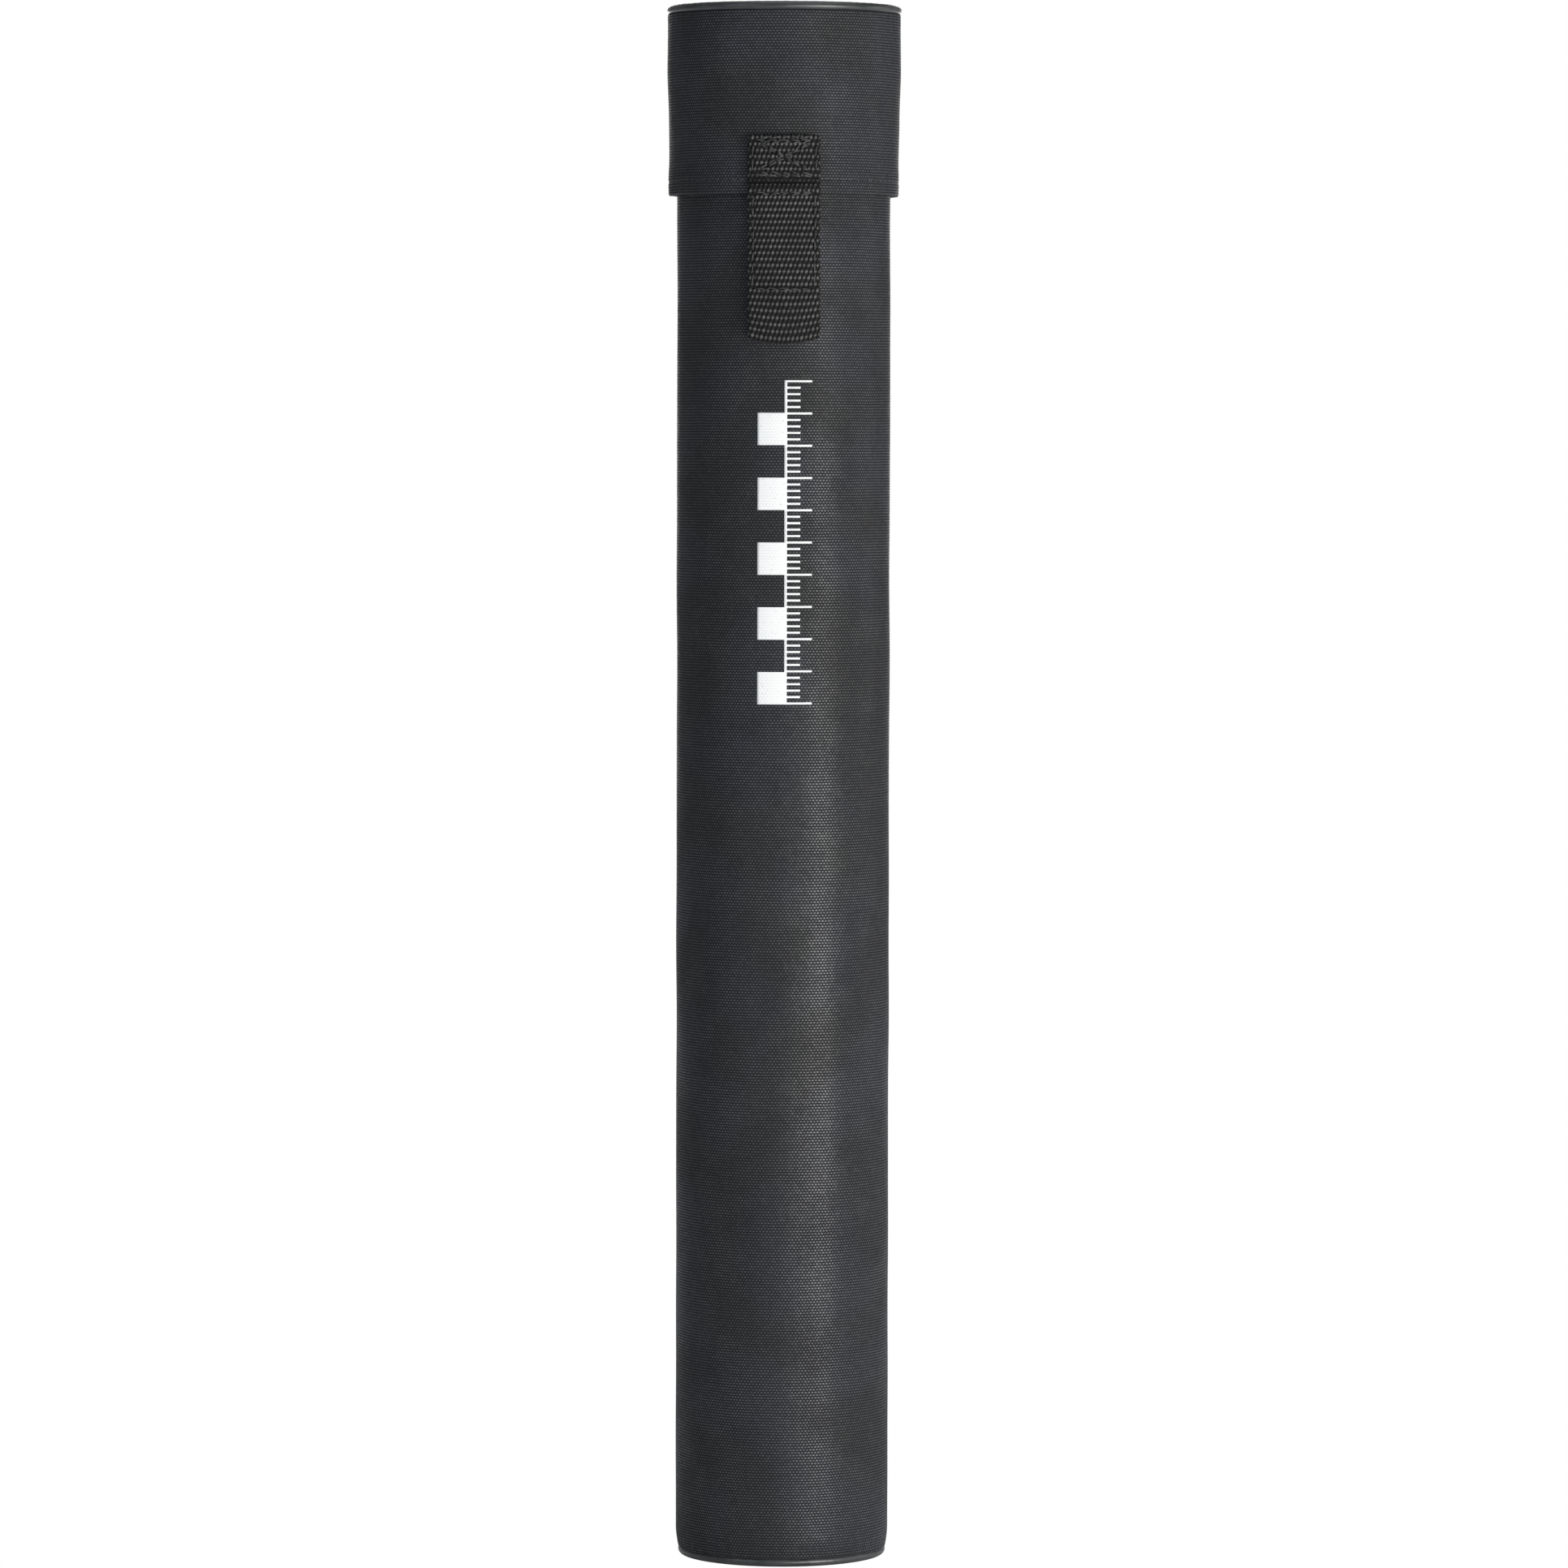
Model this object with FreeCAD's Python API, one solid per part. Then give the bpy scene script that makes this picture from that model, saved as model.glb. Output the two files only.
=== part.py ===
"""Cloth-covered drawing tube with a slip-on cap and a hook-and-loop strap.

All sizes are in millimetres. The tube stands on its base: the origin is the centre
of the ring that it stands on, +Z runs up the tube's axis, and the strap is at the
front, on the -Y side.
"""

import FreeCAD
import Part
import math
import os

# ---- Driving dimensions -------------------------------------------------------
TOTAL_HEIGHT = 533.0

# Tube wall, from the outside in.
TUBE_R = 36.6          # outside of the cloth
CLOTH = 0.8            # coated cloth with its glue
CORE_WALL = 2.3        # wound fibreboard
LINING = 0.8
MOUTH_Z = 522.8        # top edge of the fibreboard
EASED_Z = 8.4          # below this the wall is drawn in towards the base seam
EASED_BY = 1.1         # how far it is drawn in
WALL_FOOT_Z = 3.2

# Base and top ends.
BEAD_R = 1.5           # the piping's round bead
BEAD_CORD_R = 1.05     # the cord inside it
BEAD_LAND = 0.1        # the bead is pressed flat by this much where it stands
BASE_BEAD_AT = 33.8    # radius of the base bead's centre line
CAP_BEAD_AT = 39.0     # radius of the top bead's centre line
PANEL_RECESS = 0.9     # the end cloths lie this far inside the beads
PANEL_CLOTH = 0.8
BOARD = 2.5
BASE_FOAM = 6.0
CAP_FOAM = 4.6
PIPING_TAPE = 0.4      # the tape by which each bead is sewn into its seam
PIPING_TAPE_LENGTH = 6.5
BASE_TAPE_AT = 33.0    # inner radius of each tape
CAP_TAPE_AT = 37.55

# Mouth binding.
BINDING = 0.35
BINDING_HEIGHT = 8.0

# Cap.
CAP_R = 39.9
CAP_CLOTH = 0.7
CAP_CORE_WALL = 1.2
CAP_LINING = 0.35
CAP_CORE_LOW_Z = 510.0
CAP_COVER_TOP_Z = 529.9
HEM_LOW_Z = 468.0
HEM_HIGH_Z = 477.0
HEM_THICKNESS = 1.5
HEM_STITCH_Z = 472.8
# The soft skirt's outside, as (radius, height), from the hem up to the stiff core.
SKIRT = [(39.30, 469.0), (39.26, 473.4), (39.08, 478.5), (39.12, 482.5),
         (39.45, 491.0), (39.60, 500.0), (CAP_R, 509.0), (CAP_R, CAP_COVER_TOP_Z)]

# Back seams: one cloth edge laps over the other.
LAP_WIDTH = 9.0
LAP = 0.35
TUBE_LAP_Z = (EASED_Z + 0.6, 513.0)
CAP_LAP_Z = (474.6, 529.0)

# Strap: one strip of webbing, doubled at both ends.
WEB = 1.4
WEB_WIDTH = 24.6
ANCHOR_Z = (473.1, 488.0)
ANCHOR_FOLD_LOW_Z = 475.6
PANEL_Z = (434.4, 470.4)
PULL_TAB_TOP_Z = 433.2
PULL_TAB_LOW_Z = 417.4
PULL_TAB_BOW = 2.0
CLOSE_GAP = 0.25       # between surfaces that part when the strap peels
HOOK_TAPE = 1.3
HOOK_WIDTH = 23.4
HOOK_OVER_HEM_Z = 467.0
HOOK_ENGAGED_Z = 458.0
LOOP_TAPE = 1.5
LOOP_WIDTH = 24.0
LOOP_Z = (435.0, 463.5)

# Thread.
THREAD_R = 0.19
STITCH = 2.4
STITCH_PITCH = 3.1
THREAD_CLEAR = 0.02    # between a stitch and the cloth that it lies on

# Printed scale on the front.
INK = 0.1
SCALE_AT_X = 0.9       # its middle, sideways from the tube's middle
SCALE_WIDTH = 19.2
SCALE_Z = (295.0, 405.0)
SCALE_LINE = 0.9
SCALE_BLOCKS = 10
TICKS_PER_BLOCK = 5
TICK_LINE = 0.7
TICK_LONG = 8.6        # at each end of a block
TICK_SHORT = 4.6

# ---- Worked out from them -----------------------------------------------------
CORE_R = TUBE_R - CLOTH
BORE_R = CORE_R - CORE_WALL
LINING_R = BORE_R - LINING - 0.2
HOOK_ON_HEM_R = SKIRT[0][0] + CLOSE_GAP
LOOP_R = TUBE_R + LOOP_TAPE
HOOK_R = LOOP_R + CLOSE_GAP
# The hook tape's inner face, as (radius, height), from its foot to its top.
HOOK_PATH = [(HOOK_R, PANEL_Z[0]), (HOOK_R, HOOK_ENGAGED_Z),
             (HOOK_ON_HEM_R, HOOK_OVER_HEM_Z), (HOOK_ON_HEM_R, PANEL_Z[1])]
CAP_CORE_R = CAP_R - CAP_CLOTH
CAP_BORE_R = CAP_CORE_R - CAP_CORE_WALL
FRONT, BACK = -1, 1

Z_AXIS = FreeCAD.Vector(0, 0, 1)
ORIGIN = FreeCAD.Vector(0, 0, 0)


# ---- Shape helpers ------------------------------------------------------------
def ring(r_inner, r_outer, z_low, z_high):
    """A plain tube about the Z axis."""
    foot = FreeCAD.Vector(0, 0, z_low)
    height = z_high - z_low
    outer = Part.makeCylinder(r_outer, height, foot)
    return outer.cut(Part.makeCylinder(r_inner, height, foot))


def disc(radius, z_low, z_high):
    return Part.makeCylinder(radius, z_high - z_low, FreeCAD.Vector(0, 0, z_low))


def turned(profile, angle=360.0, facing=FRONT):
    """Turns a closed (radius, height) outline about Z, centred on the front or back."""
    corners = [FreeCAD.Vector(r, 0, z) for r, z in profile]
    face = Part.Face(Part.makePolygon(corners + corners[:1]))
    if angle < 360.0:
        face.rotate(ORIGIN, Z_AXIS, facing * 90.0 - angle / 2)
    return face.revolve(ORIGIN, Z_AXIS, angle)


def torus(centre_r, section_r, z):
    return Part.makeTorus(centre_r, section_r, FreeCAD.Vector(0, 0, z))


def upright_slab(width, facing, z_low, z_high, x_mid=0.0):
    """Everything within half a width of x_mid, on the tube's front or back."""
    reach = 2 * CAP_R
    y_low = -reach if facing == FRONT else 0.0
    corner = FreeCAD.Vector(x_mid - width / 2, y_low, z_low)
    return Part.makeBox(width, reach, z_high - z_low, corner)


def offset_profile(path, depth):
    """A band between a (radius, height) path and the same path moved out by depth."""
    return path + [(r + depth, z) for r, z in reversed(path)]


def radius_on(path, z):
    """The radius of a (radius, height) path at one height."""
    for (r0, z0), (r1, z1) in zip(path, path[1:]):
        if z0 <= z <= z1:
            return r0 + (r1 - r0) * (z - z0) / (z1 - z0)
    return path[0][0] if z < path[0][1] else path[-1][0]


def part_of_path(path, z_low, z_high):
    inside = [(r, z) for r, z in path if z_low < z < z_high]
    return [(radius_on(path, z_low), z_low), *inside, (radius_on(path, z_high), z_high)]


def on_surface(x, z, radius, facing):
    """A point of a round surface, by its sideways place and its height."""
    return FreeCAD.Vector(x, facing * math.sqrt(radius**2 - x**2), z)


def strip_on_front(profile, width, angle=50.0):
    """A curved strip that wraps the front of the tube, with straight upright edges."""
    heights = [z for _, z in profile]
    slab = upright_slab(width, FRONT, min(heights) - 1, max(heights) + 1)
    return turned(profile, angle).common(slab)


# ---- Stitches -----------------------------------------------------------------
def stitch(start, end):
    """One length of thread, centred between two needle holes."""
    middle = (start + end) * 0.5
    along = (end - start).normalize()
    foot = middle - along * (STITCH / 2)
    return Part.makeCylinder(THREAD_R, STITCH, foot, along)


def seam(places):
    """Stitches along a line of needle places, as separate solids."""
    return [stitch(a, b) for a, b in zip(places, places[1:])]


def needle_steps(low, high):
    count = max(1, round((high - low) / STITCH_PITCH))
    return [low + (high - low) * i / count for i in range(count + 1)]


def line_on_surface(x0, z0, x1, z1, radius_at, facing=FRONT):
    """Needle places on a straight line drawn on a round surface."""
    length = math.hypot(x1 - x0, z1 - z0)
    places = []
    for s in needle_steps(0.0, length):
        x = x0 + (x1 - x0) * s / length
        z = z0 + (z1 - z0) * s / length
        lift = THREAD_R + THREAD_CLEAR + 0.03
        places.append(on_surface(x, z, radius_at(z) + lift, facing))
    return places


def box_of_stitches(half_width, z_low, z_high, radius_at):
    """Four sewn sides, each stopping short of the corner that it shares."""
    inset = STITCH_PITCH / 2
    across, up = half_width - inset, (z_low + inset, z_high - inset)
    sides = [(-across, z_low, across, z_low), (-across, z_high, across, z_high),
             (-half_width, up[0], -half_width, up[1]),
             (half_width, up[0], half_width, up[1])]
    return [s for side in sides for s in seam(line_on_surface(*side, radius_at))]


# ---- Tube ---------------------------------------------------------------------
def eased_wall(r_inner, r_outer, z_top, z_foot):
    """A wall whose outside is drawn in below EASED_Z; its inside may follow it."""
    inner_foot = r_inner - EASED_BY if r_inner > BORE_R else r_inner
    return turned([(inner_foot, z_foot), (r_outer - EASED_BY, z_foot),
                   (r_outer, EASED_Z), (r_outer, z_top), (r_inner, z_top),
                   (r_inner, EASED_Z)])


def tube_core():
    return eased_wall(BORE_R, CORE_R, MOUTH_Z, WALL_FOOT_Z)


def tube_cover():
    """The cloth sleeve, with the lap of its back seam."""
    sleeve = eased_wall(CORE_R, TUBE_R, MOUTH_Z, WALL_FOOT_Z - 0.25)
    band = ring(TUBE_R - CLOTH / 2, TUBE_R + LAP, *TUBE_LAP_Z)
    return sleeve.fuse(band.common(upright_slab(LAP_WIDTH, BACK, *TUBE_LAP_Z)))


def tube_seam_thread():
    lap_r = TUBE_R + LAP
    x = LAP_WIDTH / 2 - 1.6
    return seam(line_on_surface(x, TUBE_LAP_Z[0] + 3, x, TUBE_LAP_Z[1] - 3,
                                lambda z: lap_r, BACK))


def mouth_binding():
    """A folded tape that covers the cut edges of cloth, board and lining."""
    low, top = MOUTH_Z - BINDING_HEIGHT, MOUTH_Z + BINDING
    inner, outer = LINING_R - BINDING, TUBE_R + BINDING
    return turned([(TUBE_R, low), (outer, low), (outer, top), (inner, top),
                   (inner, low), (LINING_R, low), (LINING_R, MOUTH_Z),
                   (TUBE_R, MOUTH_Z)])


def tube_lining(floor_z):
    return ring(LINING_R, LINING_R + LINING, floor_z, MOUTH_Z)


# ---- Ends ---------------------------------------------------------------------
def piping(bead_at, bead_z, tape_at, tape_z):
    """The vinyl skin round the cord, with the tape that is sewn into the seam."""
    cord = torus(bead_at, BEAD_CORD_R, bead_z)
    skin = torus(bead_at, BEAD_R, bead_z)
    tape = ring(tape_at, tape_at + PIPING_TAPE, *tape_z)
    return skin.fuse(tape).cut(cord)


def cap_piping(bead_z):
    tape_z = (bead_z - BEAD_R - PIPING_TAPE_LENGTH, bead_z - 0.2)
    return piping(CAP_BEAD_AT, bead_z, CAP_TAPE_AT, tape_z)


def base_piping(bead_z):
    """The base bead also has a narrow flat land, where it stands."""
    tape_z = (bead_z + BEAD_R - 0.25, bead_z + BEAD_R + PIPING_TAPE_LENGTH)
    raised = piping(BASE_BEAD_AT, bead_z, BASE_TAPE_AT, tape_z)
    ground = Part.makeBox(200, 200, 10, FreeCAD.Vector(-100, -100, -10))
    return raised.cut(ground)


def base_stack():
    """The base's layers, from the outside in, and the height of the floor inside."""
    cloth_top = PANEL_RECESS + PANEL_CLOTH
    board_top = cloth_top + BOARD
    foam_top = board_top + BASE_FOAM
    inside_bead = BASE_BEAD_AT - BEAD_R - 0.05
    lining_top = foam_top + LINING
    layers = {
        "base_cover": disc(inside_bead, PANEL_RECESS, cloth_top),
        "base_board": disc(inside_bead, cloth_top, board_top),
        "base_foam": disc(BASE_TAPE_AT - 0.1, board_top, foam_top),
        "base_lining": disc(LINING_R - 0.1, foam_top, lining_top),
    }
    return layers, foam_top


def cap_stack():
    """The cap's end layers, from the outside in."""
    cloth = (TOTAL_HEIGHT - PANEL_RECESS - PANEL_CLOTH, TOTAL_HEIGHT - PANEL_RECESS)
    board = (cloth[0] - BOARD, cloth[0])
    foam = (board[0] - CAP_FOAM, board[0])
    lining = (foam[0] - CAP_LINING * 2, foam[0])
    inside_bead = CAP_BEAD_AT - BEAD_R - 0.05
    return {
        "cap_top_cover": disc(inside_bead, *cloth),
        "cap_board": disc(inside_bead, *board),
        "cap_foam": disc(inside_bead, *foam),
        "cap_top_lining": disc(inside_bead, *lining),
    }


# ---- Cap ----------------------------------------------------------------------
def cap_cover():
    """The cap's sleeve, turned up into a double hem, with its lapped back seam."""
    outer = [(38.55, HEM_LOW_Z), *SKIRT]
    hem_inner = SKIRT[0][0] - HEM_THICKNESS
    inner = [(r - CAP_CLOTH, z) for r, z in part_of_path(SKIRT, HEM_HIGH_Z,
                                                       CAP_COVER_TOP_Z)]
    sleeve = turned(outer + inner[::-1] + [(hem_inner, HEM_HIGH_Z),
                                           (hem_inner, HEM_LOW_Z + 0.8)])
    band = turned(offset_profile(
        [(r - CAP_CLOTH / 2, z) for r, z in part_of_path(SKIRT, *CAP_LAP_Z)],
        CAP_CLOTH / 2 + LAP), 30.0, BACK)
    return sleeve.fuse(band.common(upright_slab(LAP_WIDTH, BACK, *CAP_LAP_Z)))


def cap_core():
    return ring(CAP_BORE_R, CAP_CORE_R, CAP_CORE_LOW_Z, CAP_COVER_TOP_Z - 0.1)


def cap_lining():
    """Glued to the core, then stepping out to follow the soft skirt."""
    upper_in, upper_out = CAP_BORE_R - CAP_LINING, CAP_BORE_R
    lower_out = SKIRT[2][0] - CAP_CLOTH - 0.06
    lower_in = lower_out - CAP_LINING
    top, step = MOUTH_Z + BINDING, CAP_CORE_LOW_Z
    return turned([(upper_in, step), (lower_in, step - 3), (lower_in, HEM_HIGH_Z + 0.1),
                   (lower_out, HEM_HIGH_Z + 0.1), (lower_out, step - 2.7),
                   (upper_out, step - 0.1), (upper_out, top), (upper_in, top)])


def hem_thread():
    """One row of stitches right round the hem, apart from under the strap."""
    radius = radius_on(SKIRT, HEM_STITCH_Z) + THREAD_R + THREAD_CLEAR + 0.03
    half = math.asin((WEB_WIDTH / 2 + 0.6) / radius)
    arc = 2 * (math.pi - half)
    count = round(arc * radius / STITCH_PITCH)
    angles = [-math.pi / 2 + half + arc * i / count for i in range(count + 1)]
    return seam([FreeCAD.Vector(radius * math.cos(a), radius * math.sin(a),
                                HEM_STITCH_Z) for a in angles])


def cap_seam_thread():
    x = LAP_WIDTH / 2 - 1.6
    return seam(line_on_surface(x, CAP_LAP_Z[0] + 1.5, x, CAP_LAP_Z[1] - 1.5,
                                lambda z: radius_on(SKIRT, z) + LAP, BACK))


# ---- Strap --------------------------------------------------------------------
def anchor_face(z):
    """The outside of the doubled webbing that is sewn to the skirt."""
    return radius_on(SKIRT, z) + 0.05 + 2 * WEB


def strap_anchor():
    """The strap's upper end, folded under and sewn to the skirt."""
    low, top = ANCHOR_Z
    heights = [ANCHOR_FOLD_LOW_Z, SKIRT[2][1], 483.0, top - WEB * 0.6]
    inner = [(radius_on(SKIRT, z) + 0.05, z) for z in heights]
    fold = [(anchor_face(top) - WEB * 1.5, top), (anchor_face(top) - WEB * 0.5, top)]
    outer = [(anchor_face(z), z) for z in reversed(heights)]
    tail = [(anchor_face(low), low), (anchor_face(low) - WEB, low),
            (anchor_face(ANCHOR_FOLD_LOW_Z) - WEB, ANCHOR_FOLD_LOW_Z)]
    return strip_on_front(inner + fold + outer + tail, WEB_WIDTH)


def anchor_thread():
    """A sewn box with a cross in it."""
    half = WEB_WIDTH / 2 - 1.6
    low, high = ANCHOR_Z[0] + 0.9, ANCHOR_Z[1] - 1.9
    solids = box_of_stitches(half, low, high, anchor_face)
    for x0, x1 in ((-half, half), (half, -half)):
        run = line_on_surface(x0 * 0.78, low + 1.5, x1 * 0.78, high - 1.5, anchor_face)
        middle = len(run) // 2
        crossing = x0 > 0
        for i, solid in enumerate(seam(run)):
            if not (crossing and abs(i - middle + 0.5) < 1):
                solids.append(solid)
    return solids


def panel_face(z):
    return radius_on(HOOK_PATH, z) + HOOK_TAPE + WEB


def strap_panel():
    """The length of webbing that carries the hook tape."""
    path = [(r + HOOK_TAPE, z) for r, z in HOOK_PATH]
    return strip_on_front(offset_profile(path, WEB), WEB_WIDTH)


def hook_patch():
    return strip_on_front(offset_profile(HOOK_PATH, HOOK_TAPE), HOOK_WIDTH)


def panel_thread():
    half = WEB_WIDTH / 2 - 1.8
    return box_of_stitches(half, PANEL_Z[0] + 1.6, PANEL_Z[1] - 1.9, panel_face)


def pull_tab():
    """The strap's free end, folded back on itself, with a bowed fold."""
    profile = offset_profile([(HOOK_R, PULL_TAB_TOP_Z), (HOOK_R, PULL_TAB_LOW_Z)],
                             2 * WEB)
    tab = strip_on_front(profile, WEB_WIDTH)
    half = WEB_WIDTH / 2
    bow_r = (half**2 + PULL_TAB_BOW**2) / (2 * PULL_TAB_BOW)
    round_end = Part.makeCylinder(
        bow_r, 80, FreeCAD.Vector(0, -80, PULL_TAB_LOW_Z + bow_r),
        FreeCAD.Vector(0, 1, 0))
    return tab.common(round_end)


def loop_patch():
    """The soft half of the closure, sewn to the tube under the strap."""
    low, high = LOOP_Z
    return strip_on_front([(TUBE_R, low), (LOOP_R, low), (LOOP_R, high),
                           (TUBE_R, high)], LOOP_WIDTH)


def printed_scale():
    """A scale bar in white ink: a spine, a row of blocks and a row of ticks."""
    z_low, z_high = SCALE_Z
    side = (SCALE_WIDTH - SCALE_LINE) / 2
    step = (z_high - z_low) / SCALE_BLOCKS
    bars = [(SCALE_LINE, z_low, z_high, SCALE_AT_X)]
    for i in range(0, SCALE_BLOCKS, 2):
        x_mid = SCALE_AT_X - (SCALE_LINE + side) / 2
        bars.append((side + 0.2, z_low + i * step, z_low + (i + 1) * step, x_mid))
    ticks = SCALE_BLOCKS * TICKS_PER_BLOCK
    for i in range(ticks + 1):
        length = TICK_SHORT if i % TICKS_PER_BLOCK else TICK_LONG
        z = z_low + i * (z_high - z_low - TICK_LINE) / ticks
        x_mid = SCALE_AT_X + (SCALE_LINE + length) / 2 - 0.1
        bars.append((length, z, z + TICK_LINE, x_mid))
    slabs = [upright_slab(width, FRONT, low, high, x) for width, low, high, x in bars]
    return ring(TUBE_R, TUBE_R + INK, z_low, z_high).common(slabs[0].fuse(slabs[1:]))


# ---- The nodes ----------------------------------------------------------------
def build():
    base_layers, floor_z = base_stack()
    base_bead_z = BEAD_R - BEAD_LAND
    top_bead_z = TOTAL_HEIGHT - BEAD_R
    nodes = {
        "tube_core": tube_core(),
        "tube_cover": tube_cover(),
        "tube_seam_thread": tube_seam_thread(),
        "tube_lining": tube_lining(floor_z),
        "mouth_binding": mouth_binding(),
        "base_piping": base_piping(base_bead_z),
        "base_piping_cord": torus(BASE_BEAD_AT, BEAD_CORD_R, base_bead_z),
        "loop_patch": loop_patch(),
        "printed_scale": printed_scale(),
        "cap_core": cap_core(),
        "cap_cover": cap_cover(),
        "cap_seam_thread": cap_seam_thread(),
        "cap_hem_thread": hem_thread(),
        "cap_lining": cap_lining(),
        "cap_piping": cap_piping(top_bead_z),
        "cap_piping_cord": torus(CAP_BEAD_AT, BEAD_CORD_R, top_bead_z),
        "strap_anchor": strap_anchor(),
        "strap_box_thread": anchor_thread(),
        "strap_panel": strap_panel(),
        "hook_patch": hook_patch(),
        "hook_patch_thread": panel_thread(),
        "pull_tab": pull_tab(),
    }
    return nodes | base_layers | cap_stack()


def main():
    os.makedirs("parts", exist_ok=True)
    for name, made in build().items():
        solids = made if isinstance(made, list) else made.Solids
        shape = solids[0] if len(solids) == 1 else Part.makeCompound(solids)
        assert solids and all(s.isValid() and s.Volume > 0 for s in solids), name
        shape.exportStep(f"parts/{name}.step")
        print(f"{name}: {len(solids)} solid(s), {sum(s.Volume for s in solids):.1f} mm3")


main()
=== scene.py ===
# %% [markdown]
# A cloth-covered drawing tube, finished in Blender.
#
# The tube's structure (board, boards at the ends, foam, joints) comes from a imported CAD
# model, and this file gives it its looks. Everything soft on it, such as cloth, webbing,
# thread and piping, is built again here as a finer mesh. Each cell explains one piece or
# one finish first, and then makes it.

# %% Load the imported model
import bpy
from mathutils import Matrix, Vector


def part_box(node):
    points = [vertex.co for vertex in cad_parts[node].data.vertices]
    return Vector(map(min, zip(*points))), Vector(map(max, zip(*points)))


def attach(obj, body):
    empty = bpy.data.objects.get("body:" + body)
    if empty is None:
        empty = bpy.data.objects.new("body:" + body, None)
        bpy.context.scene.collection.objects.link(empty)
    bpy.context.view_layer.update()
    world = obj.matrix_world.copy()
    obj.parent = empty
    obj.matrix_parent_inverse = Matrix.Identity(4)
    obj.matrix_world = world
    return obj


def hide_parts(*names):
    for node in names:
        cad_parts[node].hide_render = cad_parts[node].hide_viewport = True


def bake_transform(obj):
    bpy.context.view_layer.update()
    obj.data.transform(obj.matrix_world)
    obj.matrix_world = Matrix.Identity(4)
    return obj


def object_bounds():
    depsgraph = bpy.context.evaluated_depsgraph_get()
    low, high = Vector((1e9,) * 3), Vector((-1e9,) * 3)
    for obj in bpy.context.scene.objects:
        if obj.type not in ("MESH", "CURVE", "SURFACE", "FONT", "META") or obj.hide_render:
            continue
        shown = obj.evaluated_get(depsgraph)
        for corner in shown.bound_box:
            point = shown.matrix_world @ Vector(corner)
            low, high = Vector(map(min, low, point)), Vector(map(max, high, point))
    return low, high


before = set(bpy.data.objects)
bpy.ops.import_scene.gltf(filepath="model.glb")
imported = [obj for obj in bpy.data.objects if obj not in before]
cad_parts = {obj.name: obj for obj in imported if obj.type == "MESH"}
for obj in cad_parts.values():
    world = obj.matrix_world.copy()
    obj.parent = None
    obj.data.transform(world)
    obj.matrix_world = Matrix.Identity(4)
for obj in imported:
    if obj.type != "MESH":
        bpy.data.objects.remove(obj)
cad_box = [list(corner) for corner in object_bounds()]

# %% Tools used below
import math
from functools import partial

import bmesh
import bpy
import numpy as np
from mathutils import Euler, Vector

MM = 0.001
chance = np.random.default_rng(11)


def measure(node):
    """A CAD node's outside radius or half width, its foot and its top, in millimetres."""
    low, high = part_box(node)
    return high.x / MM, low.z / MM, high.z / MM

# %% [markdown]
# ## Camera
#
# A long lens from a little over two and a half metres flattens the tube's perspective, as
# a catalogue view does. The camera stands below the cap and looks slightly down, so that
# the top edge curves up and the foot curves down. It has no shift: the pitch alone frames
# the tube. A very small roll lets the tube lean by a hair.

# %% Camera
LENS, PITCH_DOWN, ROLL = 177.16, 2.88, -0.108  # millimetres, degrees, degrees
camera_data = bpy.data.cameras.new("long_lens")
camera_data.lens, camera_data.sensor_width = LENS, 36.0
camera_data.clip_start, camera_data.clip_end = 0.05, 30.0
camera = bpy.data.objects.new("long_lens", camera_data)
bpy.context.scene.collection.objects.link(camera)
camera.location = (0.00014, -2.655, 0.3997)
camera.rotation_euler = Euler((math.radians(90 - PITCH_DOWN), math.radians(ROLL), 0))
bpy.context.scene.camera = camera
bpy.context.scene.view_settings.view_transform = "Standard"
print("camera", tuple(round(c, 3) for c in camera.location), LENS, "mm")

# %% [markdown]
# ## Helpers for meshes
#
# Nearly every soft piece here is a stack of rings of points, round the tube or round a
# strip, so one helper makes the faces between rings, and another turns points and faces
# into a piece that rides on a body. Two more place points round the tube's axis, or on
# its round front. Working on whole arrays with numpy keeps large meshes quick.

# %% Places on the tube, faces between rings, and a new piece
def round_points(radius, angle, z):
    """Points round the tube's axis, at angles counted from the front."""
    return np.stack(np.broadcast_arrays(radius * np.sin(angle), -radius * np.cos(angle),
                                        z), -1)


def front_points(x, radius, z):
    """Points on a round front face, x to the right of its middle."""
    return np.stack(np.broadcast_arrays(x, -np.sqrt(radius ** 2 - x ** 2), z), -1)


def ring_faces(rings, points, joined=True):
    """Faces between rings of points; the last joins the first, or both ends are shut."""
    a, b = np.meshgrid(np.arange(rings if joined else rings - 1), np.arange(points),
                       indexing="ij")
    a2, b2 = (a + 1) % rings, (b + 1) % points
    quads = [a * points + b, a * points + b2, a2 * points + b2, a2 * points + b]
    faces = np.stack(quads, -1).reshape(-1, 4).tolist()
    if not joined:
        faces += [list(range(points)), list(range((rings - 1) * points, rings * points))]
    return faces


def many(faces, size, count, start=0):
    """The faces of one block of points, repeated for each block of that size."""
    return [[i + size * n + start for i in f] for n in range(count) for f in faces]


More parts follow.
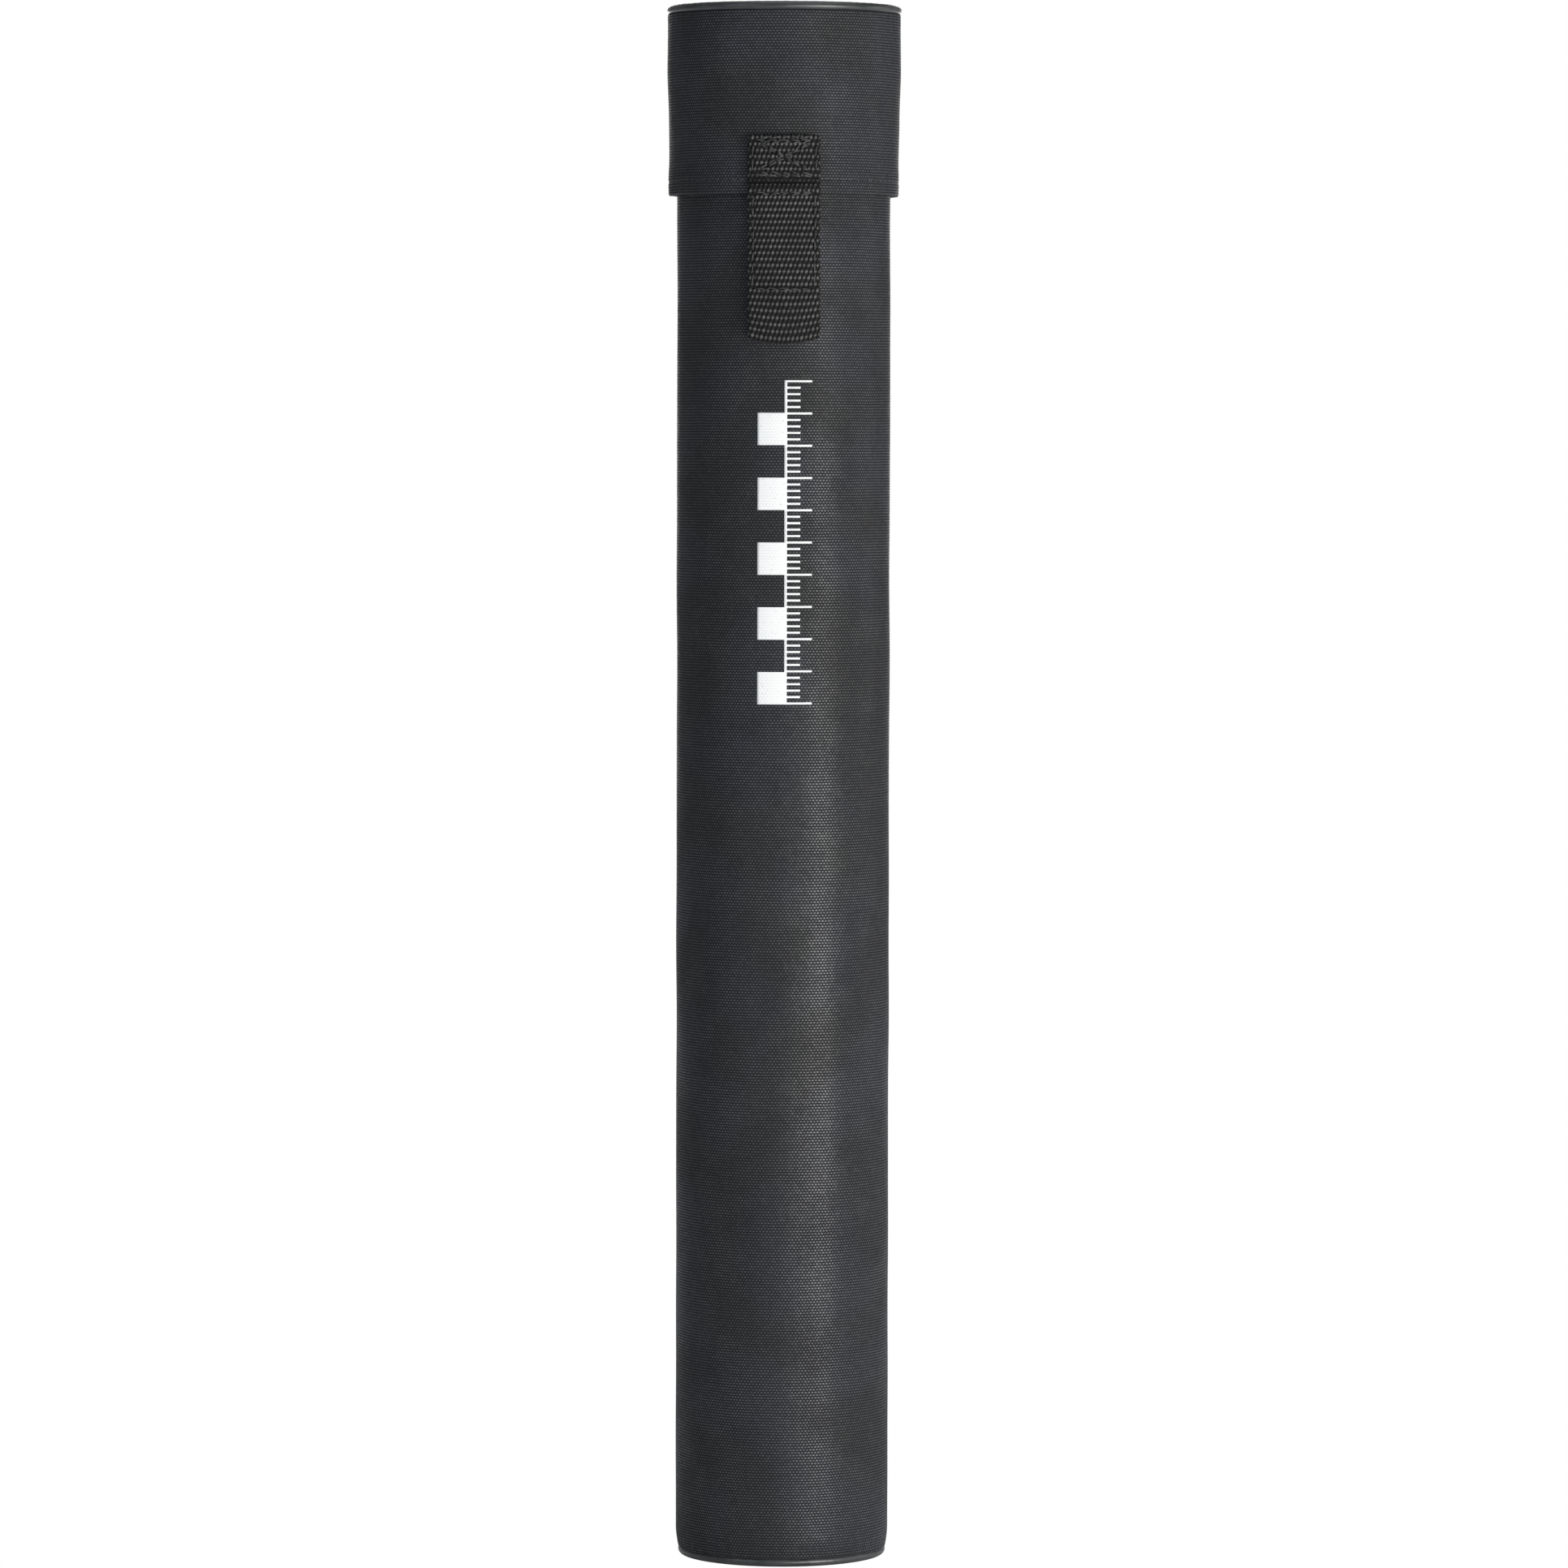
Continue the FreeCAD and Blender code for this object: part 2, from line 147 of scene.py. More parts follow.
def new_piece(name, points, faces, body, slot, replaced, attributes=None):
    """A smooth mesh piece, in millimetres; it rides on a body if one is named."""
    mesh = bpy.data.meshes.new(name)
    mesh.from_pydata((np.asarray(points).reshape(-1, 3) * MM).tolist(), [], faces)
    for label, values in (attributes or {}).items():
        layer = mesh.attributes.new(label, "FLOAT", "POINT")
        layer.data.foreach_set("value", np.asarray(values, np.float32).ravel())
    mesh.polygons.foreach_set("use_smooth", [len(face) == 4 for face in faces])
    made = bmesh.new()
    made.from_mesh(mesh)
    bmesh.ops.recalc_face_normals(made, faces=made.faces)
    made.to_mesh(mesh)
    made.free()
    piece = bpy.data.objects.new(name, mesh)
    bpy.context.scene.collection.objects.link(piece)
    if body:
        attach(piece, body)
    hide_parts(*replaced)
    print(f"{name}: {len(mesh.vertices)} points, {len(mesh.polygons)} faces")
    return piece


def ring_piece(name, points, *rest, joined=True, **more):
    """A piece whose points are a stack of rings."""
    return new_piece(name, points, ring_faces(*points.shape[:2], joined), *rest, **more)


def dress(piece, material):
    piece.data.materials.clear()
    piece.data.materials.append(material)

# %% [markdown]
# ## Helpers for shader nodes
#
# A material is a small graph. These helpers place a node, set its numbers and link its
# inputs in one line, so that each material below reads as a list of steps.

# %% Node helpers
def feed(node, **inputs):
    """Sets or links inputs: _0, _1 and so on go by place, others by socket name."""
    for key, value in inputs.items():
        socket = node.inputs[int(key[1:]) if key[0] == "_" else key.replace("_", " ")]
        if isinstance(value, bpy.types.NodeSocket):
            node.id_data.links.new(value, socket)
        else:
            socket.default_value = value


def put(tree, kind, settings=None, **inputs):
    """Adds a node, changes its settings and feeds its inputs."""
    node = tree.nodes.new(kind)
    for key, value in (settings or {}).items():
        setattr(node, key, value)
    feed(node, **inputs)
    return node


def maths(tree, operation, *values, clamp=False):
    node = put(tree, "ShaderNodeMath", {"operation": operation, "use_clamp": clamp},
               **{f"_{i}": v for i, v in enumerate(values)})
    return node.outputs[0]


def between(tree, value, low, high, to_low=0.0, to_high=1.0):
    """A smooth ramp of a value from one range to another."""
    node = put(tree, "ShaderNodeMapRange", {"interpolation_type": "SMOOTHSTEP"},
               _0=value, _1=low, _2=high, _3=to_low, _4=to_high)
    return node.outputs[0]


def mix(tree, share, first, second):
    """A blend of two colours; each is a socket, or red, green and blue."""
    first, second = (c if isinstance(c, bpy.types.NodeSocket) else (*c, 1)
                     for c in (first, second))
    return put(tree, "ShaderNodeMix", {"data_type": "RGBA"}, _0=share, _6=first,
               _7=second).outputs[2]


def dusted(tree, clean, worn, share, dust):
    """A clean colour with dust on a share of each of the handling's specks."""
    return mix(tree, maths(tree, "MULTIPLY", worn["Specks"], share), clean, dust)


def own_place(tree):
    return put(tree, "ShaderNodeTexCoord").outputs["Object"]


def grain(tree, place, scale, detail, **more):
    return put(tree, "ShaderNodeTexNoise", Vector=place, Scale=scale, Detail=detail,
               **more).outputs[0]


def bumps(tree, height, strength, deep):
    """A normal that shows a height as bumps, deep in millimetres."""
    return put(tree, "ShaderNodeBump", Strength=strength, Distance=deep * MM,
               Height=height).outputs[0]


def new_group(name, inputs, outputs):
    """A node group with named number inputs and outputs."""
    tree = bpy.data.node_groups.new(name, "ShaderNodeTree")
    for label, value in inputs.items():
        socket = tree.interface.new_socket(label, in_out="INPUT",
                                           socket_type="NodeSocketFloat")
        socket.default_value = value
    for label in outputs:
        tree.interface.new_socket(label, in_out="OUTPUT", socket_type="NodeSocketFloat")
    given = tree.nodes.new("NodeGroupInput").outputs
    return tree, given, tree.nodes.new("NodeGroupOutput")


def use_group(tree, group, **inputs):
    return put(tree, "ShaderNodeGroup", {"node_tree": group}, **inputs).outputs


def new_material(name):
    material = bpy.data.materials.new(name)
    material.use_nodes = True
    tree = material.node_tree
    return material, tree, tree.nodes["Principled BSDF"]

# %% [markdown]
# ## Shared effect: plain weave
#
# The tube, the cap and both ends are covered in one coarse coated cloth. Close up it is
# rows of small oval crowns, wider than tall, each row half a step along from the row
# before. Between them the yarns of the other direction show lower and duller, and small
# dark pits are left at the corners. Real yarns by the hundred thousand would be far too
# heavy, so the weave is a height pattern in a shared node group. The group works out its
# own place on the cloth, from the distance round the tube and the height, or straight
# across on the flat ends. It finds the nearest crown, and the height falls away from it.

# %% Plain weave group
weave, given, out = new_group(
    "plain_weave",
    {"Column Pitch": 1.167, "Row Pitch": 0.937, "Radius": 36.6, "Flat": 0.0,
     "Wander": 0.10},
    ["Height", "Crown", "Yarn Tone"])
step = partial(maths, weave)
place = own_place(weave)
split = put(weave, "ShaderNodeSeparateXYZ", _0=place).outputs
wobble = put(weave, "ShaderNodeTexNoise", Vector=place, Scale=60.0, Detail=2.0).outputs
wobble = put(weave, "ShaderNodeSeparateXYZ", _0=wobble["Color"]).outputs


def angle_round(tree, split):
    """The angle round the tube's axis, counted from the front."""
    return maths(tree, "ARCTAN2", split[0], maths(tree, "MULTIPLY", split[1], -1.0))


around = step("MULTIPLY", angle_round(weave, split), given["Radius"])
to_mm = [step("MULTIPLY", axis, 1000.0) for axis in split]
across = put(weave, "ShaderNodeMix", _0=given["Flat"], _2=around, _3=to_mm[0]).outputs[0]
along = put(weave, "ShaderNodeMix", _0=given["Flat"], _2=to_mm[2], _3=to_mm[1]).outputs[0]
strayed = []
for value, wander in ((across, wobble[0]), (along, wobble[1])):
    push = step("MULTIPLY", step("SUBTRACT", wander, 0.5),
                step("MULTIPLY", given["Wander"], 4.0))
    strayed.append(step("ADD", value, push))
rows = step("DIVIDE", strayed[1], given["Row Pitch"])
row = step("ROUND", rows)
half_step = step("MULTIPLY", step("FLOORED_MODULO", row, 2.0), 0.5)
columns = step("SUBTRACT", step("DIVIDE", strayed[0], given["Column Pitch"]), half_step)
column = step("ROUND", columns)
off_x = step("ABSOLUTE", step("SUBTRACT", columns, column))
off_z = step("SUBTRACT", rows, row)


def yarn_dome(x, half_width, half_height):
    """1 on a yarn's crown, falling to 0 at the edge of its oval."""
    wide, tall = step("DIVIDE", x, half_width), step("DIVIDE", off_z, half_height)
    fall = step("ADD", step("MULTIPLY", wide, wide), step("MULTIPLY", tall, tall))
    return step("SUBTRACT", 1.0, fall, clamp=True)


over = yarn_dome(off_x, 0.56, 0.53)
under = yarn_dome(step("SUBTRACT", 0.5, off_x), 0.28, 0.75)
cell = put(weave, "ShaderNodeCombineXYZ", _0=column, _1=row)
tone = put(weave, "ShaderNodeTexWhiteNoise", {"noise_dimensions": "2D"},
           Vector=cell.outputs[0])
feed(out, Yarn_Tone=tone.outputs[0],
     Height=step("MAXIMUM", step("POWER", over, 0.75), step("MULTIPLY", under, 0.35)),
     Crown=step("MAXIMUM", step("POWER", over, 1.9), step("MULTIPLY", under, 0.16)))
print("plain weave:", len(weave.nodes), "nodes")

# %% [markdown]
# ## Shared effect: handling
#
# Nothing that has been carried about is one even tone. Broad soft patches of rubbed
# coating and finer dusty specks both come from noise, at two scales. A third, slow and
# smooth noise is a swell, for cloth that isn't quite flat. The same group is used on
# cloth, vinyl, webbing and ink, each with its own size of patch.

# %% Handling group
handling, given, out = new_group(
    "handling", {"Patch Scale": 22.0, "Speck Scale": 900.0},
    ["Patches", "Specks", "Swell"])
place = own_place(handling)
broad = grain(handling, place, given["Patch Scale"], 4.0, Roughness=0.6)
fine = grain(handling, place, given["Speck Scale"], 2.0)
feed(out, Patches=between(handling, broad, 0.32, 0.68),
     Specks=between(handling, fine, 0.62, 0.78),
     Swell=grain(handling, place, given["Patch Scale"], 0.0))
print("handling:", len(handling.nodes), "nodes")

# %% [markdown]
# ## Material: coated cloth
#
# The cloth is a blue-black polyester with a thin coating. What the eye reads is the
# contrast between the lit crowns and the dark gaps between them. The crown mask paints
# that light and shade into the colour: the crowns' lighter grey is painted light and the
# near-black gaps are painted shade. It also drives the roughness, and the height drives a
# bump node. The crowns are a little glossier than the gaps, which is what makes the long
# highlight sparkle. The slow swell is added to the height, so that the highlight wavers,
# and turns the crowns a little bluer here and there.

# %% Coated cloth
# The gap colour is painted shade between the yarns; the lighter crown colours are painted
# light on the yarn tops.
GAP_SHADE_BLACK, CROWN_GREY = (0.0060, 0.0063, 0.0075), (0.0575, 0.0585, 0.0605)
CROWN_BLUE, CLOTH_DUST = (0.051, 0.0545, 0.067), (0.25, 0.25, 0.24)


def coated_cloth(name, radius, swell, flat=0.0):
    """The cloth's finish; swell is how many weave heights the slow swell moves it."""
    material, tree, skin = new_material(name)
    yarn = use_group(tree, weave, Radius=radius, Flat=flat)
    worn = use_group(tree, handling, Patch_Scale=34.0, Speck_Scale=700.0)
    share = maths(tree, "MULTIPLY", yarn["Crown"],
                  between(tree, yarn["Yarn Tone"], 0.0, 1.0, 0.74, 1.0))
    share = maths(tree, "MULTIPLY", share,
                  between(tree, worn["Patches"], 0.0, 1.0, 0.68, 1.0))
    crown = mix(tree, between(tree, worn["Swell"], 0.35, 0.65), CROWN_GREY, CROWN_BLUE)
    # Painted light and shade: the lit crown colour on the crowns, painted shade in the
    # gaps.
    clean = mix(tree, share, GAP_SHADE_BLACK, crown)
    height = maths(tree, "ADD", yarn["Height"],
                   maths(tree, "MULTIPLY", worn["Swell"], swell))
    feed(skin, Normal=bumps(tree, height, 0.8, 0.17),
         Base_Color=dusted(tree, clean, worn, 0.05, CLOTH_DUST),
         Roughness=between(tree, share, 0.0, 1.0, 0.8, 0.5),
         Coat_Weight=between(tree, share, 0.0, 1.0, 0.0, 0.6), Coat_Roughness=0.36,
         Coat_IOR=1.5, Specular_IOR_Level=0.22)
    return material


tube_r = measure("tube_cover")[0]
cap_r, cap_low, cap_high = measure("cap_cover")
tube_cloth_finish = coated_cloth("coated_cloth_tube", tube_r, 14.0)
cap_cloth_finish = coated_cloth("coated_cloth_cap", cap_r, 18.0)
end_cloth_finish = coated_cloth("coated_cloth_ends", cap_r, 5.0, flat=1.0)
print("tube radius", round(tube_r, 2), "cap radius", round(cap_r, 2))

# %% [markdown]
# ## The tube's cloth
#
# The cover is one sheet wrapped round a board tube, lapped at the back, and drawn in at
# the foot to meet the piping. A plain cylinder would look machined. Here a loop of
# outline points is turned round the axis, and each point is then moved a tenth of a
# millimetre or so: slow waves where the cloth isn't quite flat on the board, small
# puckers where the foot's seam gathers it, and a step along the back lap.

# %% Helpers for turned cloth
LAP_WIDTH, LAP_RISE = 9.0, 0.35


def round_angles(count, radius):
    """Angles from the front, closer together beside the edge of the back lap."""
    edge, near = math.pi - LAP_WIDTH / 2 / radius, 0.006
    even = np.linspace(-math.pi, math.pi, count, endpoint=False)
    extra = [edge + d for d in (-near, -near / 4, near / 4, near)]
    return np.unique(np.round(np.concatenate([even, extra]), 6))


def turn(profile, angles, shift):
    """Points of a closed outline turned about Z, moved outwards by shift(angle, z)."""
    radius, height = np.asarray(profile, float).T[..., None]
    return round_points(radius + shift(angles, height), angles, height)


def ease(value, low, high):
    t = np.clip((value - low) / (high - low), 0, 1)
    return t * t * (3 - 2 * t)


def slow_waves(angles, z, size, seed, shortest=45, longest=220, most_turns=7):
    """A smooth unevenness made of a few long waves round and up the cloth."""
    pick = np.random.default_rng(seed)
    total = 0
    for _ in range(9):
        turns, length = pick.integers(1, most_turns), pick.uniform(shortest, longest)
        total = total + np.sin(turns * angles + z * 2 * math.pi / length
                               + pick.uniform(0, 6.3)) * pick.uniform(0.4, 1.0)
    return size * total / 3


def lap(angles, z, radius, low, high):
    """The step of a lapped edge at the back, fading away on its other side."""
    place = (np.mod(angles, 2 * math.pi) - math.pi) * radius
    step = ease(place, -LAP_WIDTH * 0.9, -LAP_WIDTH * 0.35) * (
        1 - ease(place, LAP_WIDTH / 2 - 0.12, LAP_WIDTH / 2 + 0.12))
    ends = ease(z, low - 1, low + 1) * (1 - ease(z, high - 1, high + 1))
    return LAP_RISE * step * ends

# %% Tube cloth
FOOT_IN, CLOTH = 0.85, 0.78  # how far the foot is drawn in, and the cover's thickness
_, core_low, core_high = measure("tube_core")


def tube_shift(angles, z):
    """The tube cloth's waves, calmer behind the print, its foot's puckers and its lap."""
    inside_print = ease(20 - np.abs(angles) * tube_r, -6, 6)
    even = slow_waves(angles, z, 0.11, 3, 30, 150, 12) * (1 - 0.9 * inside_print)
    even = even * ease(z, 8, 30)
    pucker = 0.11 * np.sin(angles * 58 + 2 * np.sin(angles * 5)) * (1 - ease(z, 3, 11))
    return even + pucker + lap(angles, z, tube_r, 9, 513)


heights = np.concatenate([np.linspace(core_low - 0.5, 11, 22), np.linspace(13, 505, 200),
                          np.linspace(507, core_high, 10)])
drawn_in = FOOT_IN * np.clip((9.4 - heights) / 6.6, 0, 1) ** 1.6
outer = [(tube_r - d, z) for d, z in zip(drawn_in, heights)]
inner = [(tube_r - CLOTH, z) for z in (core_high, 260, 9.4)]
inner.append((tube_r - FOOT_IN - 0.7, core_low - 0.5))
tube_cloth = ring_piece("tube_cloth", turn(outer + inner, round_angles(256, tube_r),
                                           tube_shift),
                        "case_body", "outer_cloth", ["tube_cover"])
dress(tube_cloth, tube_cloth_finish)

# %% [markdown]
# ## The cap's cloth
#
# The cap slips over the tube. Its cloth is stretched over a short stiff ring at the top,
# and below that it is only cloth, so it draws in a little and then ends in a folded hem,
# which is twice as thick. The hem is sewn, and thread pulls cloth in, so a shallow groove
# follows the row of stitches. The edge of the hem isn't perfectly level.

# %% Cap cloth
HEM_ROW = 472.8  # the height of the hem's stitches
skirt_heights = [469.0, 473.4, 478.5, 482.5, 491.0, 500.0, 509.0, 530.4]
skirt_radii = [39.30, 39.26, 39.08, 39.12, 39.45, 39.60, cap_r, cap_r]


def skirt(z):
    """The cap cloth's outside radius, with its corners rounded off."""
    spread = np.linspace(-2.2, 2.2, 9)
    return np.mean([np.interp(z + d, skirt_heights, skirt_radii) for d in spread], axis=0)


def cap_shift(angles, z):
    """The cap cloth's waves, calm under the strap, its gathers, groove and lap."""
    under_strap = ease(17 - np.abs(angles) * cap_r, -5, 5)
    even = slow_waves(angles, z, 0.30, 8, 24, 90, 14) + 0.10
    even = even * (1 - 0.85 * under_strap)
    gather = 0.05 * np.sin(angles * 71 + 3 * np.sin(angles * 4)) * (
        1 - ease(np.abs(z - 473.5), 1.5, 6))
    pucker = 0.06 * np.sin(angles * 64 + 2 * np.sin(angles * 3)) * ease(z, 522, 530)
    groove = -0.16 * (1 - ease(np.abs(z - HEM_ROW), 0.1, 0.75))
    return even + gather + pucker + groove + lap(angles, z, cap_r, 474.6, 529)


heights = np.concatenate([np.linspace(469.2, 479, 44), np.linspace(479.6, 505, 34),
                          np.linspace(506, 528.6, 24), [529.3, 529.8]])
outer = [(38.45, cap_low + 0.05), (38.9, cap_low - 0.05), (39.18, cap_low + 0.25),
         (39.3, cap_low + 0.7), *((float(skirt(z)), z) for z in heights),
         (cap_r - 0.25, 530.25)]
inner = [(cap_r - 0.7, 530.2), (cap_r - 0.7, 512), (38.75, 500), (38.5, 488),
         (38.38, 479), (37.84, 477.1), (37.8, 474), (37.8, 470), (37.95, 468.6),
         (38.15, cap_low + 0.2)]
angles = round_angles(300, cap_r)
points = turn(outer + inner, angles, cap_shift)
ripple = 0.16 * np.sin(angles * 3 + 0.7) + 0.07 * np.sin(angles * 11 + 2)
points[..., 2] += ripple * (1 - ease(points[..., 2], 468, 473))
cap_cloth = ring_piece("cap_cloth", points, "cap", "outer_cloth", ["cap_cover"])
dress(cap_cloth, cap_cloth_finish)

# %% [markdown]
# ## Material: black vinyl, and the two piping beads
#
# Piping is a strip of soft vinyl folded round a cord. It is the only shiny thing on the
# tube, so the two beads read as thin bright lines. The vinyl is nearly smooth, with a
# faint ripple where the sewing machine pulled it, and the ends overlap at the back. One
# helper makes its finish from two tones and fine bumps, and later those of the thread,
# the hooks, the pile, the mouth tape, the boards and the cord.

# %% Two-toned finishes, and black vinyl
def two_tone(name, dark, light, rough, patch, bump=None, **more):
    """A mottled finish: two tones, uneven roughness, and fine bumps if they are given.

    bump is the bumps' scale, strength and depth in millimetres."""
    material, tree, skin = new_material(name)
    worn = use_group(tree, handling, Patch_Scale=patch)["Patches"]
    feed(skin, Base_Color=mix(tree, worn, dark, light),
         Roughness=between(tree, worn, 0, 1, *rough), **more)
    if bump:
        scale, strength, deep = bump
        height = grain(tree, own_place(tree), scale, 3.0)
        feed(skin, Normal=bumps(tree, height, strength, deep))
    return material


vinyl = two_tone("black_vinyl", (0.016, 0.017, 0.018), (0.032, 0.033, 0.035),
                 (0.34, 0.48), 90.0, (650.0, 0.35, 0.06), Coat_Weight=0.25,
                 Coat_Roughness=0.22)

# %% Piping beads
def piping_bead(name, body, node, centre_r, centre_z, section, foot_z=-math.inf):
    """A bead swept round a circle, slightly rippled, with lapped ends at the back."""
    steps, sides = 360, 22
    turns = np.linspace(-math.pi, math.pi, steps, endpoint=False)[:, None]
    around = np.linspace(0, 2 * math.pi, sides, endpoint=False)[None, :]
    back = (np.mod(turns, 2 * math.pi) - math.pi) * centre_r
    joint = ease(back, -6.5, -4.5) * (1 - ease(back, 5.2, 5.5))
    ripple = 0.02 * np.sin(turns * 76) + 0.012 * np.sin(turns * 23 + 1)
    thick = section + ripple * (np.cos(around - 0.8) > 0) + 0.10 * joint
    z = np.maximum(centre_z + thick * np.sin(around), foot_z)
    points = round_points(centre_r + thick * np.cos(around), turns, z)
    dress(ring_piece(name, points, body, "black_vinyl", [node]), vinyl)


base_low, top_z = (corner[2] / MM for corner in cad_box)
piping_bead("cap_bead", "cap", "cap_piping", 39.0, top_z - 1.5, 1.48)
piping_bead("base_bead", "case_body", "base_piping", 34.2, base_low + 1.45, 1.55,
            base_low)

# %% [markdown]
# ## The end cloths
#
# Each end is a disc of the same cloth over a board, sewn inside its piping. The cloth is
# glued only here and there, so it isn't dead flat: it swells slightly in the middle and
# gathers into short radial puckers at the seam. A polar grid of rings suits that, with
# the rings closer together near the rim.

# %% End cloths
def disc_cloth(name, body, node, face_up, crown, slot, pucker=0.14, shy=0.0, slim=0.0):
    """A closed disc of cloth; its shown face is crowned and puckered at the rim.

    It is as large as its CAD node, less shy off the shown face and slim off the rim."""
    radius, low, high = measure(node)
    reach = np.concatenate([np.linspace(0.02, 0.82, 20), np.linspace(0.84, 1, 16)])
    turns = np.linspace(0, 2 * math.pi, 192, endpoint=False)
    ring, turn_of = np.meshgrid(reach, turns, indexing="ij")
    bulge = crown * (1 - ring ** 2.4) - 0.28 * ease(ring, 0.965, 1.0)
    gather = pucker * np.sin(turn_of * 62 + 2.5 * np.sin(turn_of * 4)) * ease(
        ring, 0.8, 0.97)
    lumps = 0.05 * np.sin(ring * 9 * np.cos(turn_of) + 1) * np.cos(
        ring * 7 * np.sin(turn_of))
    face = (bulge + gather + lumps) * (1 if face_up else -1)
    shown_z, hidden_z = (high - shy, low) if face_up else (low + shy, high)
    shown = round_points(ring * (radius - slim), turn_of, shown_z + face)
    hidden = shown[::-1].copy()
    hidden[..., 2] = hidden_z
    return ring_piece(name, np.concatenate([shown, hidden]), body, slot, [node],
                      joined=False)


cap_end = disc_cloth("cap_end_cloth", "cap", "cap_top_cover", True, 0.45, "outer_cloth")
base_end = disc_cloth("base_end_cloth", "case_body", "base_cover", False, 0.35,
                      "outer_cloth")
for piece in (cap_end, base_end):
    dress(piece, end_cloth_finish)

# %% [markdown]
# ## Webbing
#
# The strap is a heavy black webbing. Its yarns are thick enough to see, so they are real
# shape here: rows of slanted oval knuckles, each row half a step along from the last.
# The strip is a closed loop of points across (face, edge, back, edge), swept along a
# path that folds over at the top and again at the pull tab. The face's points rise into
# knuckles and sink along each line of sewing. How high each point stands is stored on
# the mesh as its crown value, and the material turns that into painted light on the
# knuckles and painted shade in the gaps, along the sewing and in the crease over the hem.

# %% Webbing height and paths
COLUMN, ROW = 1.52, 2.1
WEB_HALF, WEB_BODY, KNUCKLE = 12.3, 0.24, 0.50
# At the hem fold the crown value is lowered, which flattens the knuckles and also paints
# shade into the crease there.
HEM_FOLD = 472.1  # the height where the strap turns over the hem and its knuckles flatten


def knuckles(u, v):
    """0 in the gaps to 1 on the crowns, for places across and along the webbing."""
    best = np.zeros(np.broadcast(u, v).shape)
    near = np.round(v / ROW)
    for row in (near - 1, near, near + 1):
        odd = np.mod(row, 2)
        dv = v - row * ROW
        lean = u + dv * 0.16
        column = np.round(lean / COLUMN - odd / 2)
        du = lean - (column + odd / 2) * COLUMN
        size = 1 + 0.09 * np.sin(row * 12.9898 + column * 78.233)
        round_top = 1 - (du / 0.72) ** 2 - (dv / (0.76 * size)) ** 2
        best = np.maximum(best, size * np.clip(round_top, 0, None) ** 0.8)
        # a low slanted tail runs from each crown to a crown of the row below it
        down = np.clip(dv / ROW, 0, 1)
        off = u - (odd - down) * COLUMN / 2
        off = off - np.round(off / COLUMN) * COLUMN
        tail = (dv >= 0) * (dv <= ROW) * (1 - (off / 0.46) ** 2)
        best = np.maximum(best, 0.43 * np.sqrt(np.clip(tail, 0, None)))
    return np.clip(best, 0, 1)


def even_path(corners, step=0.24):
    """A (radius, height) path with points a fixed step apart."""
    corners = np.asarray(corners, float)
    far = np.concatenate([[0], np.cumsum(np.hypot(*np.diff(corners, axis=0).T))])
    s = np.linspace(0, far[-1], int(far[-1] / step) + 1)
    path = np.stack([np.interp(s, far, corners[:, 0]), np.interp(s, far, corners[:, 1])],
                    -1)
    for _ in range(3):
        path[1:-1] = (path[:-2] + 2 * path[1:-1] + path[2:]) / 4
    return s, path


def fold(centre_r, z, half, upwards):
    """Points of a half turn between two layers of webbing."""
    turns = np.linspace(0, math.pi, 9)
    sign = 1 if upwards else -1
    return [(centre_r - half * math.cos(t), z + sign * half * math.sin(t))
            for t in turns]

# %% Webbing strip
FACE_POINTS, BACK_POINTS, EDGE_R = 118, 84, 0.25


def webbing(name, replaced, path, s, part, sewn, bow=None, tuck=0):
    """Part of a woven strip swept along a path, with grooves where it is sewn.

    The last tuck rings sink into the part that carries on from it."""
    flat = WEB_HALF - EDGE_R
    edge_t = np.linspace(0.15, math.pi - 0.15, 5)
    u = np.concatenate([np.linspace(-flat, flat, FACE_POINTS),
                        flat + EDGE_R * np.sin(edge_t),
                        np.linspace(flat, -flat, BACK_POINTS),
                        -flat - EDGE_R * np.sin(edge_t)])
    side = np.concatenate([np.ones(FACE_POINTS), np.cos(edge_t), -np.ones(BACK_POINTS),
                           -np.cos(edge_t)])
    tangent = np.gradient(path, axis=0)
    tangent /= np.linalg.norm(tangent, axis=1)[:, None]
    normal = np.stack([-tangent[:, 1], tangent[:, 0]], -1)[part]
    path, s = path[part], s[part]
    U, S = np.meshgrid(u, s)
    path_r, path_z = path.T[..., None]
    on_face = np.abs(side) > 0.9
    selvedge = ease(np.abs(U), WEB_HALF - 0.9, WEB_HALF - 0.3)
    crown = knuckles(U, S) * on_face * (1 - 0.3 * selvedge)
    groove = np.clip(sum(line(U, path_z) for line in sewn), 0, 1) * (side > 0.9)
    # Lowering the crown flattens the knuckles along the sewing and over the hem, and
    # through the crown value it paints shade into both.
    crown = crown * (1 - 0.25 * groove) * (1 - 0.45 * (
        1 - ease(np.abs(path_z - HEM_FOLD), 0.8, 1.8)))
    depth = side * (WEB_BODY + KNUCKLE * crown - 0.16 * groove)
    depth = depth * (1 - 0.25 * selvedge * on_face)
    sunk = np.clip(np.arange(len(s)) - (len(s) - 1 - tuck), 0, None)[:, None]
    depth = depth - side * 0.03 * sunk
    radius = path_r + normal[:, 0][:, None] * depth
    z = path_z + normal[:, 1][:, None] * depth
    if bow is not None:
        z = z + bow(U, z)
    x = U + 0.06 * np.sin(S * 2 * math.pi / ROW) * selvedge * np.sign(U)
    return ring_piece(name, front_points(x * (1 - 0.003 * sunk), radius, z), None,
                      "webbing", replaced, joined=False,
                      attributes={"crown": np.where(on_face, crown, 0.4)})


def sewn_row(z0, half_width):
    return lambda u, z: (1 - ease(np.abs(z - z0), 0.35, 1.0)) * (np.abs(u) < half_width)


def sewn_column(x0, low, high):
    return lambda u, z: (1 - ease(np.abs(u - x0), 0.3, 0.85)) * (z > low) * (z < high)


